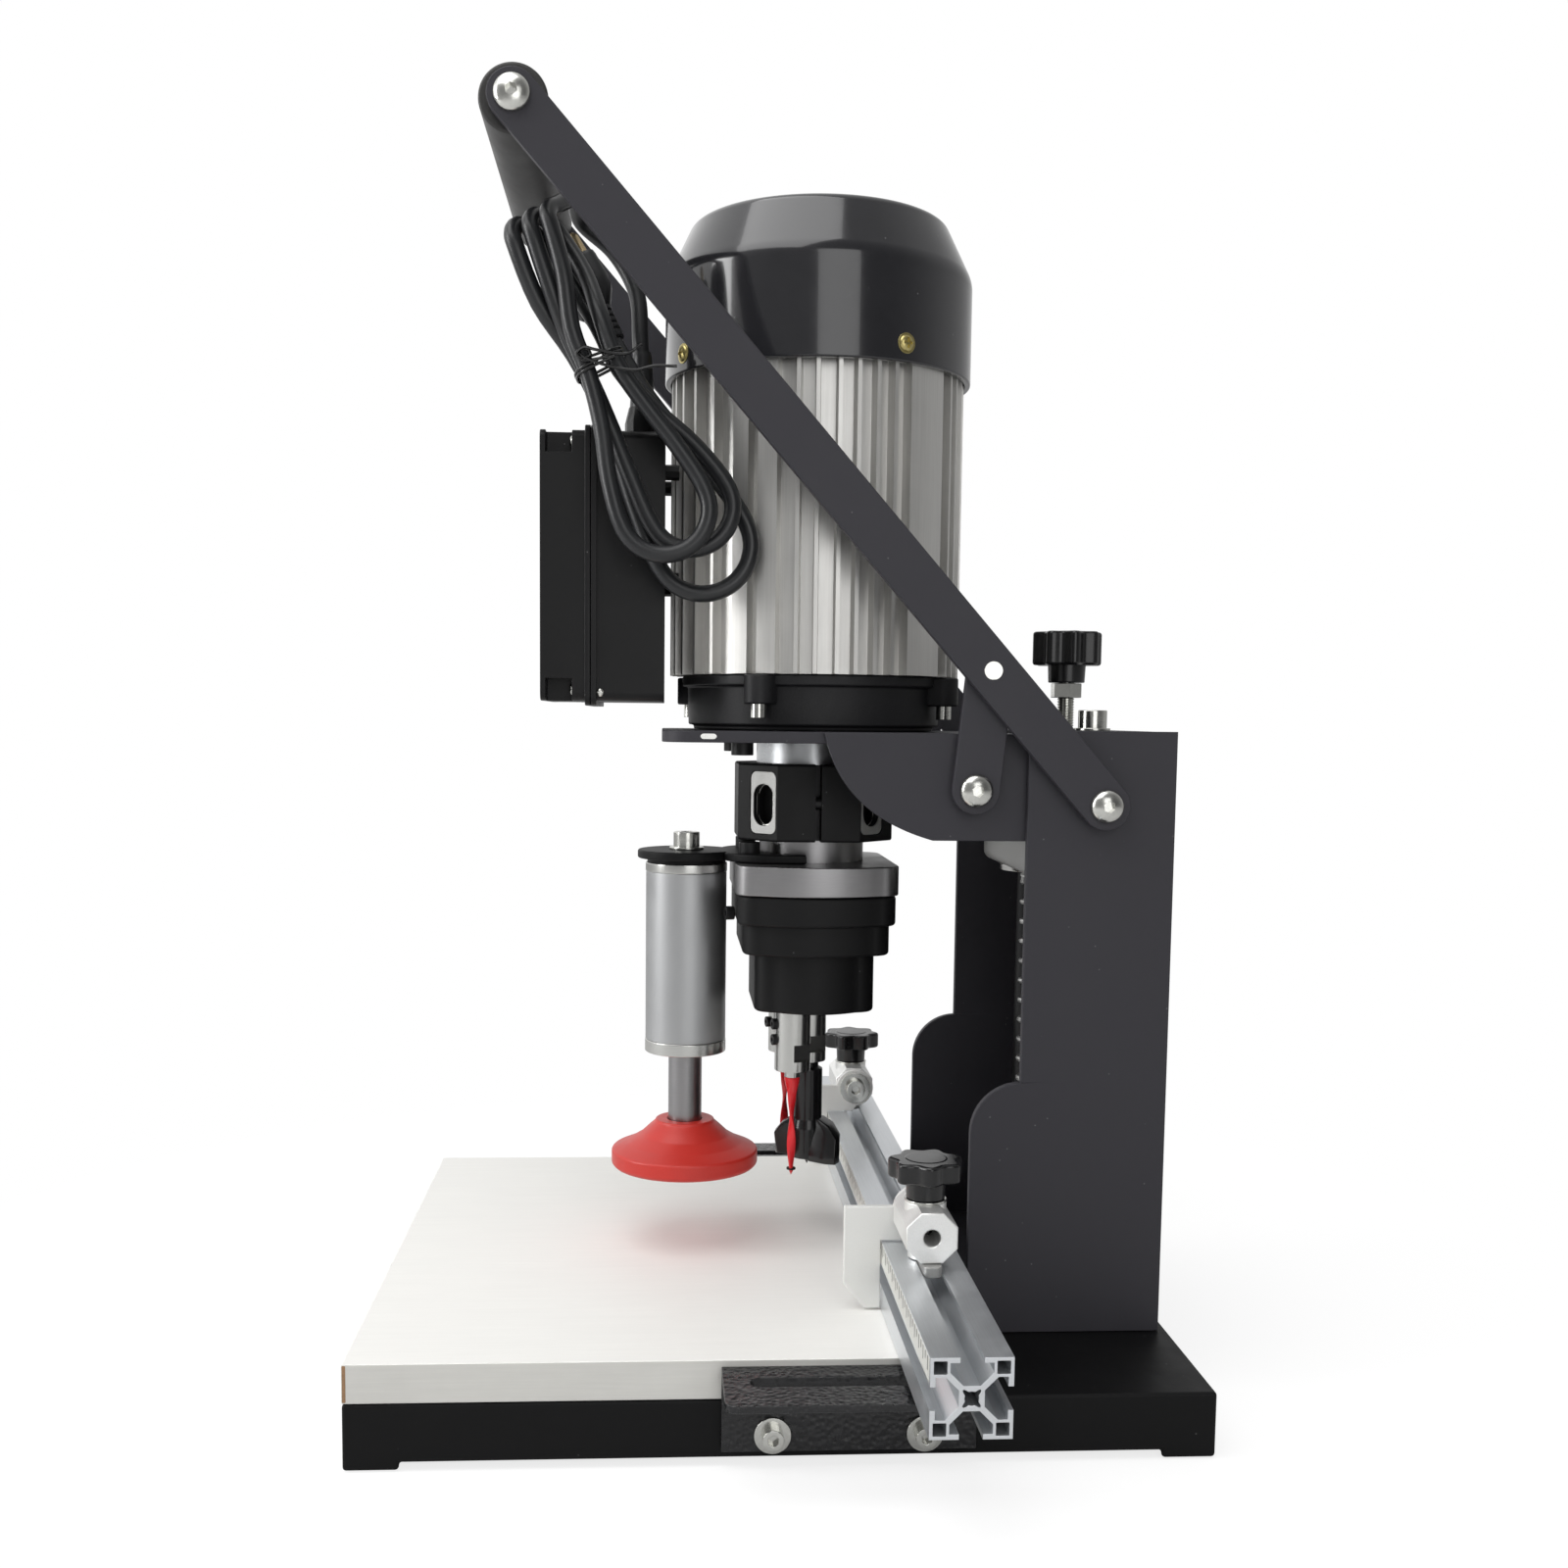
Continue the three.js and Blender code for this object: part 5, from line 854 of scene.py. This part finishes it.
def cutters():
    low, high = span("boring_bit")
    bottom = low.z + 3
    hub = softened([(0, low.z), (1.6, bottom), (8, bottom + 1), (8, bottom + 15.5), (7, bottom + 20),
                    (7, 128.5), (5, 129.5), (5, high.z), (0, high.z)], 0.5, 2)
    wings = []
    stations = (
        (0, 17.5, -9.2, -1.5), (3.5, 17.5, -9.8, 0.5), (12, 17.2, -7.5, 4.8), (17.5, 12.5, -5.2, 6.2),
        (20.5, 7.5, -4.2, 4.8),
    )
    for k in range(2):
        wing = loft([[(a, b, bottom + z) for a, b in (
            (3, front * 0.75), (reach * 0.7, front), (reach - 0.4, front * 0.92), (reach, front * 0.3),
            (reach * 0.9, back), (3, back))] for z, reach, front, back in stations])
        work = bmesh.new()
        work.from_mesh(wing)
        bevel(work, 0.5, 25)
        work.to_mesh(wing)
        work.free()
        wings.append(moved(wing, turn=turn(66 + 180 * k)))
    dress("boring_bit", on_axis(join(lathe(hub, 48), *wings)), "cast_black", "shiny_plastic", 30)

    for suffix, side_x in SIDE.items():
        node = "side_bit_" + suffix
        low, high = span(node)
        tip, root, steps, sides = low.z + 2.2, 129, 40, 16
        rows = []
        for k in range(steps + 1):
            share = k / steps
            angle = side_x * -2 * pi * 0.9 * share
            flare = smooth(max(0.0, (share - 0.8) / 0.2))
            web, wide = 1.0 + 2.6 * flare, 2.1 + 1.7 * flare
            section = [(wide * cos(t), min(web, wide) * sin(t))
                       for t in (2 * pi * j / sides for j in range(sides))]
            c, s, z = cos(angle), sin(angle), tip + (root - tip) * share
            rows.append([(a * c - b * s, a * s + b * c, z) for a, b in section])
        blade = loft(rows, [(0, 0, low.z), (0, 0, root)])
        shank = turned(rect(0, root, 3.6, high.z), 0.3, 32)
        x, y = side_x * SPINDLE_X, AXIS_Y - SPINDLE_AHEAD
        dress(node, moved(blade, x, y), "red_coat")
        piece(node + "_shank", moved(shank, x, y), NODES[node]["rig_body"], "ground_steel")
        point = lathe([(0, low.z), (0.9, low.z + 2.4), (2.15, low.z + 2.8), (2.15, low.z + 3.6),
                       (0, low.z + 4)], 24)
        piece(node + "_point", moved(point, x, y), NODES[node]["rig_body"], "ground_steel", "dark_finish_and_painted_shade")


def work_clamp():
    y = AXIS_Y - CLAMP_AHEAD
    low, high = span("clamp_bracket")
    shape = arc(0, 0, 27.2, -10.6, -169.4, 40)
    shape += [(-33, -5), (-33, -22)]
    shape += curve((-33, -22), (-30, -36), (-17, -42), 12)[1:]
    shape += arc(0, -CLAMP_AHEAD, 23.2, 0.72 * 180, 2.28 * 180, 48)
    shape += [(17, -42)]
    shape += curve((17, -42), (30, -36), (33, -22), 12)[1:]
    shape += [(33, -5)]
    plate = slab([shape, circle(0, -CLAMP_AHEAD, HOLE, 24)], low.z, high.z, "z", 0.9, 3)
    dress("clamp_bracket", on_axis(plate), "black_coat")
    top = high.z
    parts = join(moved(cap_screw(6.2, 7.2, 5, 12, 3.9), 0, y, top + 1.2),
                 moved(washer(8.2, 4.1, 1.2), 0, y, top + 0.02))
    bright("clamp_screw", parts, "carriage")
    for suffix, side_x in SIDE.items():
        screw = moved(cap_screw(4.9, 5, 4), side_x * 18, AXIS_Y - 30.5, top + 0.05)
        dark("bracket_screw_" + suffix, screw, "carriage")

    z0, z1 = levels("clamp_barrel")
    skin = softened([(18.9, z0 + 6), (19.2, z0 + 6.2), (19.2, z1 - 6.2), (18.9, z1 - 6)], 0.2)
    caps = [ring(19.4, 8.3, a, b, 0.6, 96) for a, b in ((z0, z0 + 6), (z1 - 6, z1 - 1.6))]
    dress("clamp_barrel", moved(lathe(skin, 96), 0, y), "satin_aluminium")
    piece("barrel_caps", moved(join(*caps), 0, y), "carriage", "satin_aluminium", "ground_steel")
    piece("barrel_ring", moved(ring(18.6, HOLE, z1 - 1.7, z1 + 0.1, 0.3, 96), 0, y), "carriage", "black_coat")

    low, high = span("clamp_rod")
    rod = [(0, low.z), (8, low.z), (8, high.z - 20), (13.5, high.z - 20), (13.5, high.z - 12),
           (8, high.z - 12), (8, high.z), (0, high.z)]
    dress("clamp_rod", moved(turned(rod, 0.4, 96), 0, y), "ground_steel", "head_metal")
    z0, z1 = levels("clamp_pad")
    pad = [(0, z0 + 0.8), (24, z0 + 0.8), (27, z0), (33.8, z0), (35.2, z0 + 1.6), (35.2, z0 + 7.4),
           (34.6, z0 + 8.2), (27.5, z0 + 11.2), (21.5, z0 + 14.8), (17.5, z0 + 18.6), (14.4, z1 - 1.2),
           (13.9, z1), (8.3, z1), (8.3, z1 - 8), (0, z1 - 8)]
    dress("clamp_pad", moved(turned(pad, 0.7, 128), 0, y), "red_plastic", None, 50)


# Fence, its brackets and stops
def fence():
    low, high = span("fence_profile")
    y, z, half = (low.y + high.y) / 2, (low.z + high.z) / 2, 15
    side = [(-half, half), (-4.3, half), (-4.3, half - 2), (-7.8, half - 2), (-7.8, half - 5.5), (-3, 4.65),
            (3, 4.65), (7.8, half - 5.5), (7.8, half - 2), (4.3, half - 2), (4.3, half)]
    outline = [(a * c + b * s + y, b * c - a * s + z) for c, s in ((1, 0), (0, 1), (-1, 0), (0, -1))
               for a, b in side]
    middle = half - 1.3 - 2.4
    cells = [rounded_box(a - 2.4, b - 2.4, a + 2.4, b + 2.4, 0.3, 2) for a in (y - middle, y + middle)
             for b in (z - middle, z + middle)]
    core = [(2.6 + 1.9 * max(0, -cos(4 * t)) ** 2, t) for t in (pi * k / 32 for k in range(64))]
    core = [(y + r * cos(t), z + r * sin(t)) for r, t in core]
    bar = slab([outline, core] + cells, low.x, high.x, "x", 0.15, 1)
    dress("fence_profile", bar, "aluminium", "fence", 25)

    face = low.y
    points = [(a, y_side, b) for y_side in (face - 0.12, face + 0.05)
              for a, b in rect(low.x + 2, z + 5.4, high.x - 2, z + 14)]
    strip = new_mesh(points, [[0, 1, 2, 3], [7, 6, 5, 4], [0, 4, 5, 1], [1, 5, 6, 2], [2, 6, 7, 3],
                              [3, 7, 4, 0]])
    piece("ruler_tape", strip, "fence", "white_melamine", "ruler")
    points, faces = [], []
    wide = 0.5
    for k in range(-220, 221, 5):
        tall = 5.2 if k % 10 == 0 else 3
        faces.append([len(points) + j for j in range(4)])
        points += [(a, face - 0.2, b) for a, b in rect(k - wide, z + 14 - tall, k + wide, z + 14)]
    piece("ruler_ticks", new_mesh(points, faces), "fence", "black_plastic", "dark_finish_and_painted_shade")

    top, bolt_x, face_x = span("fence_bracket_R")[1].z, 166.3, 153.3
    for suffix, side_x in SIDE.items():
        a, b = sorted((side_x * (bolt_x - 4.4), side_x * (bolt_x + 4.4)))
        slot = slab([rounded_box(a, y - 12, b, y + 10.6, 4.2, 8)], top - 6, top + 2, "z", 0.05, 1)
        plate = cut(refined("fence_bracket_" + suffix, 0.8, steps=3), slot)
        dress("fence_bracket_" + suffix, plate, "black_coat", "hammered")
    for suffix, side_x in SIDE.items():
        for k, screw_y in enumerate((-5.7, 55.2)):
            parts = join(aimed(washer(7.4, 3, 1.4), (side_x, 0, 0), x=side_x * (face_x + 0.02)),
                         aimed(cap_screw(4.3, 4.8, 4), (side_x, 0, 0), x=side_x * (face_x + 1.4)))
            bright(f"base_screw_{suffix}_{k}", moved(parts, 0, screw_y, 14), "frame")
        bolt = join(moved(washer(7, 4.1, 2.2), side_x * bolt_x, y, top + 0.1),
                    moved(cap_screw(6.4, 5, 5), turn=turn(180, "X"), x=side_x * bolt_x, y=y, z=top - 3.2))
        shank = lathe(rect(0, top - 4, SHANK, z - half + 4.5), 24)
        nut = slab([rounded_box(-7, -6.6, 7, 6.6, 1, 3)], z - half + 2.2, z - half + 5.2, "z", 0.3)
        whole = join(bolt, moved(shank, side_x * bolt_x, y), moved(nut, side_x * bolt_x, y))
        bright("fence_bolt_" + suffix, whole, "fence")

    for suffix, side_x, inner in (("R", 1, 98), ("L", -1, 135)):
        stop(suffix, side_x, inner, y, high.z + 0.3 + 13.7)


def star(radius, depth, lobes, steps=12):
    turns = [2 * pi * k / (lobes * steps) for k in range(lobes * steps)]
    return [polar(radius - depth * (1 - cos(lobes * t)) / 2, t) for t in turns]


def knob(radius, depth, lobes, hub, foot, neck, top):
    """A star knob on a hub: it stands from foot to top and its lobes start at neck."""
    lobed = slab([star(radius, depth, lobes)], neck, top, "z", 1.4, 4)
    crown = turned([(0, top - 1), (radius * 0.62, top - 1), (radius * 0.55, top + 0.25), (0, top + 0.25)],
                   0.6, 48)
    barrel = turned([(0, foot), (hub, foot), (hub * 1.05, neck + 1.5), (0, neck + 1.5)], 0.6, 48)
    return join(lobed, crown, barrel)


def stop(suffix, side_x, inner, y, z):
    """One stop: block, flag, pivot bolt, star knob and slot nut. The far one is the near one mirrored."""
    half, length, rise = 10.5, 39, 3.2
    low, stud_x = half + rise, length / 2
    body = slab([octagon(half, 6), circle(0, 0, 3.5, 32)], 0, length, "x", 0.7, 3)
    boss = moved(ring(8.7, HOLE, half - 5, half, 0.5), stud_x)
    foot = moved(ring(7, HOLE, -low, 0.4 - half, 0.4), stud_x)
    flag = [(-31.1, 1.5), (-31.5, 1.1), (-31.5, -32.1), (-22.6, -43.3), (-15.6, -43.3), (-15.6, -13.4),
            (-1, -13.4)]
    flag += arc(0, 0, 10.4, -84, 171.7, 32)
    tab = slab([flag], -3.3, -0.3, "x", 0.6, 3)
    pin = turned(rect(0, -4.2, 3.2, 9), 0.3, 32, "x")
    head = join(aimed(washer(8.8, 3.2, 1.1), (-1, 0, 0), x=-3.35),
                aimed(cap_screw(5.3, 4.6, 4.4), (-1, 0, 0), x=-4.4))
    stud = lathe(rect(0, -low - 3.3, SHANK, half + 2), 24)
    disc = moved(washer(8.9, 4.1, 0.9), 0, 0, half + 0.02)
    star_knob = join(knob(15.8, 2.9, 7, 8.0, half + 0.9, half + 9, half + 17.6), stud)
    shape = rounded_box(stud_x - 12, -3.9, stud_x + 23.5, 3.9, 2.4, 5)
    nut = slab([shape], -low - 1.4, -half - 0.15, "z", 0.5, 3)

    def put(mesh):
        return moved(mesh if side_x > 0 else mirrored(mesh), side_x * inner, y, z)

    dress("stop_block_" + suffix, put(join(body, boss, foot)), "aluminium", "bright_block")
    dress("stop_flag_" + suffix, put(join(tab, pin)), "white_melamine", "white_coat")
    bright("stop_bolt_" + suffix, put(head), "flag_" + suffix)
    dress("stop_knob_" + suffix, put(moved(star_knob, stud_x)), "black_plastic", "shiny_plastic")
    bright("stop_disc_" + suffix, put(moved(disc, stud_x)), "knob_" + suffix)
    piece("stop_nut_" + suffix, put(nut), "stop_" + suffix, "aluminium", "block_metal")


def depth_stop():
    low, high = span("depth_stud")
    z = low.z - 0.3
    pitch, level, profile = 1.25, low.z, [(0, low.z)]
    while level < z + 43:
        profile += [(4.0, level + 0.1), (3.45, level + pitch / 2), (4.0, level + pitch - 0.1)]
        level += pitch
    profile.append((0, high.z))
    stud = lathe(profile, 32)
    nut = moved(hex_nut(13, 6.8, 3.8), 0, 0, z + 22.2)
    dress("depth_stud", moved(join(stud, nut), 0, SLIDE_Y), "ground_steel", "bright_steel", 25)
    low, high = span("depth_knob")
    shape = knob(16.6, 3.2, 8, 8.6, low.z, low.z + 8.2, high.z)
    dress("depth_knob", moved(shape, 0, SLIDE_Y), "black_plastic", "shiny_plastic")


# Cord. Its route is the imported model's own.
CORD = 3.7
TIE = (63.5, -78.0, 445.0)
LOOPS = ((86, -3, 19), (88, 8, 18), (107, 6, 21))  # reach, shift and end radius of each loop


def smooth(t):
    return t * t * (3 - 2 * t)


def swell(value, power):
    return copysign(abs(value) ** power, value)


def hank_point(along, across, layer):
    """A place on the hank: along it from the tie, across it, and in which layer of the cord."""
    lean, reach, bend = 0.467, 68, 9
    twist = 1.4 * smooth(min(1, max(0, -along / (reach - bend))))
    ahead = (1 - layer) * 8.5
    out = ahead * cos(twist) - across * sin(twist)
    aside = across * cos(twist) + ahead * sin(twist)
    c, s = cos(lean), sin(lean)
    return Vector((TIE[0] + 6 * along / reach + out, TIE[1] + along * s + aside * c,
                   TIE[2] - along * c + aside * s))


def hank_route(steps=24, last=19):
    """The hank's centre line: per loop half a top bend, a side down, the bottom bend and a side up."""
    end, pinch, top_radius, points = 1 / 8, 6.4, 9, []
    top = top_radius - 68
    for i in range(2 * steps + last + 1):
        loop, u = divmod(i, steps)
        u /= steps
        reach, shift, radius = LOOPS[loop]
        low = reach - radius
        tie = -top / (low - top)
        layer = loop
        if u < end or u > 1 - end:
            t = u if u < end else u - 1
            along = top - top_radius * cos(t * 4 * pi)
            across = -top_radius * sin(t * 4 * pi)
            layer = loop + smooth((t + end) / (2 * end)) - (0 if t < 0 else 1)
        elif u < 3 * end or u > 5 * end:
            down = (u - end) * 4 if u < 0.5 else (1 - end - u) * 4
            below, above = max(0, (down - tie) / (1 - tie)), max(0, 1 - down / tie)
            half = pinch + (top_radius - pinch) * smooth(above) + (radius - pinch) * smooth(below)
            along = top + (low - top) * down
            across = (-half if u < 0.5 else half) + shift * smooth(below)
            if loop == 2 and u > 0.5:
                apart = smooth(min(1, (1 - down) * 1.3))
                across += 7 * apart
                layer += apart
        else:
            t = (u - 3 * end) * 4 * pi
            along, across = low + radius * sin(t), shift - radius * cos(t)
        points.append(hank_point(along, across, layer))
    first = points[0] + (points[0] - points[1]).normalized() * 2 * CORD
    last_point = points[-1] + (points[-1] - points[-2]).normalized() * 2 * CORD
    return [first] + points + [last_point]


def catmull(points, count):
    """Points along a centripetal Catmull-Rom curve."""
    padded = [points[0] * 2 - points[1]] + points + [points[-1] * 2 - points[-2]]
    result = []
    for i in range(count + 1):
        place = i / count * (len(points) - 1)
        k = min(int(place), len(points) - 2)
        w = place - k
        p = padded[k:k + 4]
        d = [max((p[j + 1] - p[j]).length ** 0.5, 1e-6) for j in range(3)]
        t1 = (p[1] - p[0]) / d[0] - (p[2] - p[0]) / (d[0] + d[1]) + (p[2] - p[1]) / d[1]
        t2 = (p[2] - p[1]) / d[1] - (p[3] - p[1]) / (d[1] + d[2]) + (p[3] - p[2]) / d[2]
        t1, t2 = t1 * d[1], t2 * d[1]
        a = p[1] * 2 - p[2] * 2 + t1 + t2
        b = p[1] * -3 + p[2] * 3 - t1 * 2 - t2
        result.append(a * w ** 3 + b * w ** 2 + t1 * w + p[1])
    return result


def cord():
    hank = hank_route()
    back = (hank[0] - hank[1]).normalized()
    end = hank[0] + back * 0.3
    spout = Vector((30, -60.5, 422))
    rises = [(0, 0, 0), (0, 0, 20), (-3, -1, 42), (-8, -3, 64), (-11, -13, 82), (-6, -27, 93)]
    lead = [spout + Vector(r) for r in rises] + [end + back * k * CORD for k in (3, 1, 0)]
    route = catmull(lead, 96) + catmull(hank, 4 * (len(hank) - 1))
    line = round_curve("mains_cord", CORD * MM, 5)
    add_spline(line, [co * MM for co in route]).use_smooth = True
    obj = linked("mains_cord", line)
    line.materials.append(LOOKS["cord_rubber"])
    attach(obj, "carriage")
    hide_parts("cord_lead", "cord_hank")

    seat_direction = (hank[-1] - hank[-2]).normalized()
    plug, pins = mains_plug(hank[-1] - seat_direction * 7.7, seat_direction)
    relief_profile = [(CORD + 0.25, 433.6), (5.6, 433.6), (5.2, 440), (4.9, 446), (4.4, 456),
                      (CORD + 0.25, 458)]
    relief = turned(relief_profile, 0.5, 32)
    relief = piece("cord_relief", moved(relief, 30, -60.5), "carriage", "cord_rubber")
    tie = cord_tie()


def cord_tie():
    """Two turns of tie round the hank, its knot and its two free ends."""
    loop = []
    for k in range(49):
        t = 2 * pi * k / 24 + 0.4
        aside = Vector((13.6 * swell(cos(t), 0.6), 0, 0))
        loop.append(hank_point(-1.6 + 3.2 * k / 48, 11.2 * swell(sin(t), 0.6), 1) + aside)
    knot = hank_point(-2.5, -6.5, 1) + Vector((14.3, 0, 0))
    parts = [tube(catmull(loop[::2], 96), 0.65, 8)]
    for start, near, free in (
        (loop[-1], ((0, 0, 0), (0.6, 3.5, 2.2), (0.9, 2.4, 4.2), (0.4, -1.2, 3.8), (0.6, 0.4, 1.4)),
         ((79, -64, 440.4), (78.6, -55, 442.4), (78.2, -45.5, 442.6))),
        (loop[0], ((0.2, -0.5, 1), (1.2, -2.2, 2.6), (1.3, 0.6, 5.0), (0.8, 5.2, 4.3)),
         ((79.4, -66.5, 447.0), (78.8, -60.2, 451.2))),
    ):
        run = [start] + [knot + Vector(v) for v in near] + [Vector(v) for v in free]
        parts.append(tube(catmull(run, 60), 0.65, 8))
    return piece("cord_tie", join(*parts), "carriage", "cord_rubber", "shiny_plastic", 60)


def mains_plug(seat, direction):
    """The ribbed relief, the body and the two pins, in the direction in which the cord ends."""
    ribs = [(CORD + 0.3, 0), (CORD + 1.4, 0.2)]
    for k in range(5):
        z = 1 + k * 3
        r = CORD + 1.5 + 0.3 * k
        ribs += [(r, z), (r + 0.35, z + 1.7), (r - 0.7, z + 1.9), (r - 0.6, z + 2.8)]
    ribs += [(CORD + 3, 16.4), (0, 16.4)]
    relief = turned(ribs, 0.25, 32, steps=2)
    rows, around = [], [2 * pi * j / 48 for j in range(48)]
    for z, wide, thick, power in ((15.6, 6.4, 6.2, 2.2), (16.2, 7.2, 6.8, 2.4), (19, 9.2, 7.5, 2.8),
                                  (23, 11.6, 7.9, 3.4), (27, 12.3, 8, 4.2), (37.6, 12.4, 8, 4.6),
                                  (39.3, 12.2, 7.8, 4.6), (40, 11.2, 6.9, 4.6)):
        rows.append([(thick * swell(cos(t), 2 / power), wide * swell(sin(t), 2 / power), z) for t in around])
    body = loft(rows)
    place = Matrix.Translation(seat) @ facing(direction)
    shell = join(relief, body)
    shell.transform(place)
    plug = dress("mains_plug", shell, "black_plastic", "cord_rubber", 40)
    pins = [moved(turned([(0, 38.5), (2.4, 38.5), (2.4, 51), (1.4, 53), (0, 53)], 0.8, 32), 0, y)
            for y in (-8, 8)]
    metal = join(*pins)
    metal.transform(place)
    return plug, piece("plug_pins", metal, "carriage", "ground_steel", "brass")


# Camera, light and floor
def camera():
    """The camera of the photograph, fitted to the sizes of the machine."""
    yaw, pitch, roll = 0.0602, 0.0921, 0.0109
    forward = Vector((-cos(yaw) * cos(pitch), sin(yaw) * cos(pitch), -sin(pitch)))
    right = forward.cross(Vector((0, 0, 1))).normalized()
    up = right.cross(forward)
    tilted = right * cos(roll) + up * sin(roll)
    upright = up * cos(roll) - right * sin(roll)
    data = bpy.data.cameras.new("photo_camera")
    width, focal, middle_x, middle_y = 1600, 1661.04, 775.77, 884.34  # in pixels of the picture
    data.sensor_width = 36
    data.lens = focal / width * data.sensor_width
    data.shift_x = (width / 2 - middle_x) / width
    data.shift_y = (middle_y - width / 2) / width
    data.clip_start = 0.01
    obj = linked("photo_camera", data)
    turned = Matrix((tilted, upright, -forward)).transposed().to_4x4()
    obj.matrix_world = Matrix.Translation(Vector((773.89, -50.39, 297.67)) * MM) @ turned
    SCENE.camera = obj


def lamp(name, place, target, size, power):
    data = bpy.data.lights.new(name, "AREA")
    data.shape = "RECTANGLE"
    data.size, data.size_y = size
    data.energy = power
    obj = linked(name, data)
    aim = (Vector(target) - Vector(place)).to_track_quat("-Z", "Y")
    obj.matrix_world = Matrix.Translation(Vector(place)) @ aim.to_matrix().to_4x4()


def studio():
    """Soft lamps, a pale room to be reflected, and a white floor that keeps the shadow."""
    lamp("key", (0.5, -0.5, 1.7), (0, 0, 0.25), (1.3, 1.3), 13)
    lamp("fill", (1.7, 0.3, 0.7), (0, 0, 0.3), (0.9, 1.3), 6.4)
    lamp("front", (0.3, -1.6, 0.8), (0, 0, 0.3), (0.5, 1.2), 13)
    world = bpy.data.worlds.new("studio")
    SCENE.world = world
    world.use_nodes = True
    tree = world.node_tree
    add = partial(add_node, tree)
    tree.nodes.clear()
    out, light = add("OutputWorld"), add("LightPath")
    room = add("Background", Strength=0.5, Color=(1, 1, 1, 1))
    white = add("Background", Strength=1, Color=(1, 1, 1, 1))
    mirror = add("Background", Strength=1)
    place, parts = add("TexCoord"), add("SeparateXYZ")
    side = map_range(tree, 0.75, -0.25, 0.24, 1.0, "SMOOTHSTEP")
    rear = map_range(tree, -0.5, 0.8, 1.12, 0.42, "SMOOTHSTEP")
    both = add("Math", operation="MULTIPLY")
    either = add("Math", operation="MAXIMUM")
    first, second = add("MixShader"), add("MixShader")
    wire(tree, (place, "Generated", parts, 0), (parts, "X", side, "Value"), (parts, "Y", rear, "Value"),
         (side, "Result", both, 0), (rear, "Result", both, 1), (both, 0, mirror, "Color"),
         (light, "Is Camera Ray", either, 0), (light, "Is Transmission Ray", either, 1),
         (light, "Is Glossy Ray", first, "Fac"), (room, 0, first, 1), (mirror, 0, first, 2),
         (either, 0, second, "Fac"), (first, 0, second, 1), (white, 0, second, 2), (second, 0, out, 0))

    bpy.ops.mesh.primitive_plane_add(size=14, location=(0, 0, -0.0005))
    floor = bpy.context.object
    floor.name = "floor"
    material = bpy.data.materials.new("floor_white")
    material.use_nodes = True
    tree = material.node_tree
    add = partial(add_node, tree)
    tree.nodes.clear()
    out, light, place = (add(kind) for kind in ("OutputMaterial", "LightPath", "TexCoord"))
    matte = add("BsdfDiffuse", Color=(0.7, 0.7, 0.7, 1))
    shaded = add("BsdfDiffuse", Color=(0.3, 0.3, 0.3, 1))
    glow, white = add("Emission", Strength=0.78), add("Emission", Strength=1)
    near = add("AddShader")
    reach = add("VectorMath", operation="LENGTH")
    far = map_range(tree, 0.22, 0.5, 0, 1)
    either = add("Math", operation="MAXIMUM")
    shown, total = add("MixShader"), add("MixShader")
    wire(tree, (shaded, 0, near, 0), (glow, 0, near, 1), (place, "Object", reach, 0),
         (reach, "Value", far, "Value"), (far, "Result", shown, "Fac"), (near, 0, shown, 1),
         (white, 0, shown, 2), (light, "Is Camera Ray", either, 0), (light, "Is Transmission Ray", either, 1),
         (either, 0, total, "Fac"), (matte, 0, total, 1), (shown, 0, total, 2), (total, 0, out, 0))
    floor.data.materials.append(material)
    SCENE.view_settings.view_transform = "Standard"


for build in (camera, cord, base, column, spring, carriage, lever, motor, control_box, head, cutters,
              work_clamp, fence, depth_stop, studio):
    build()
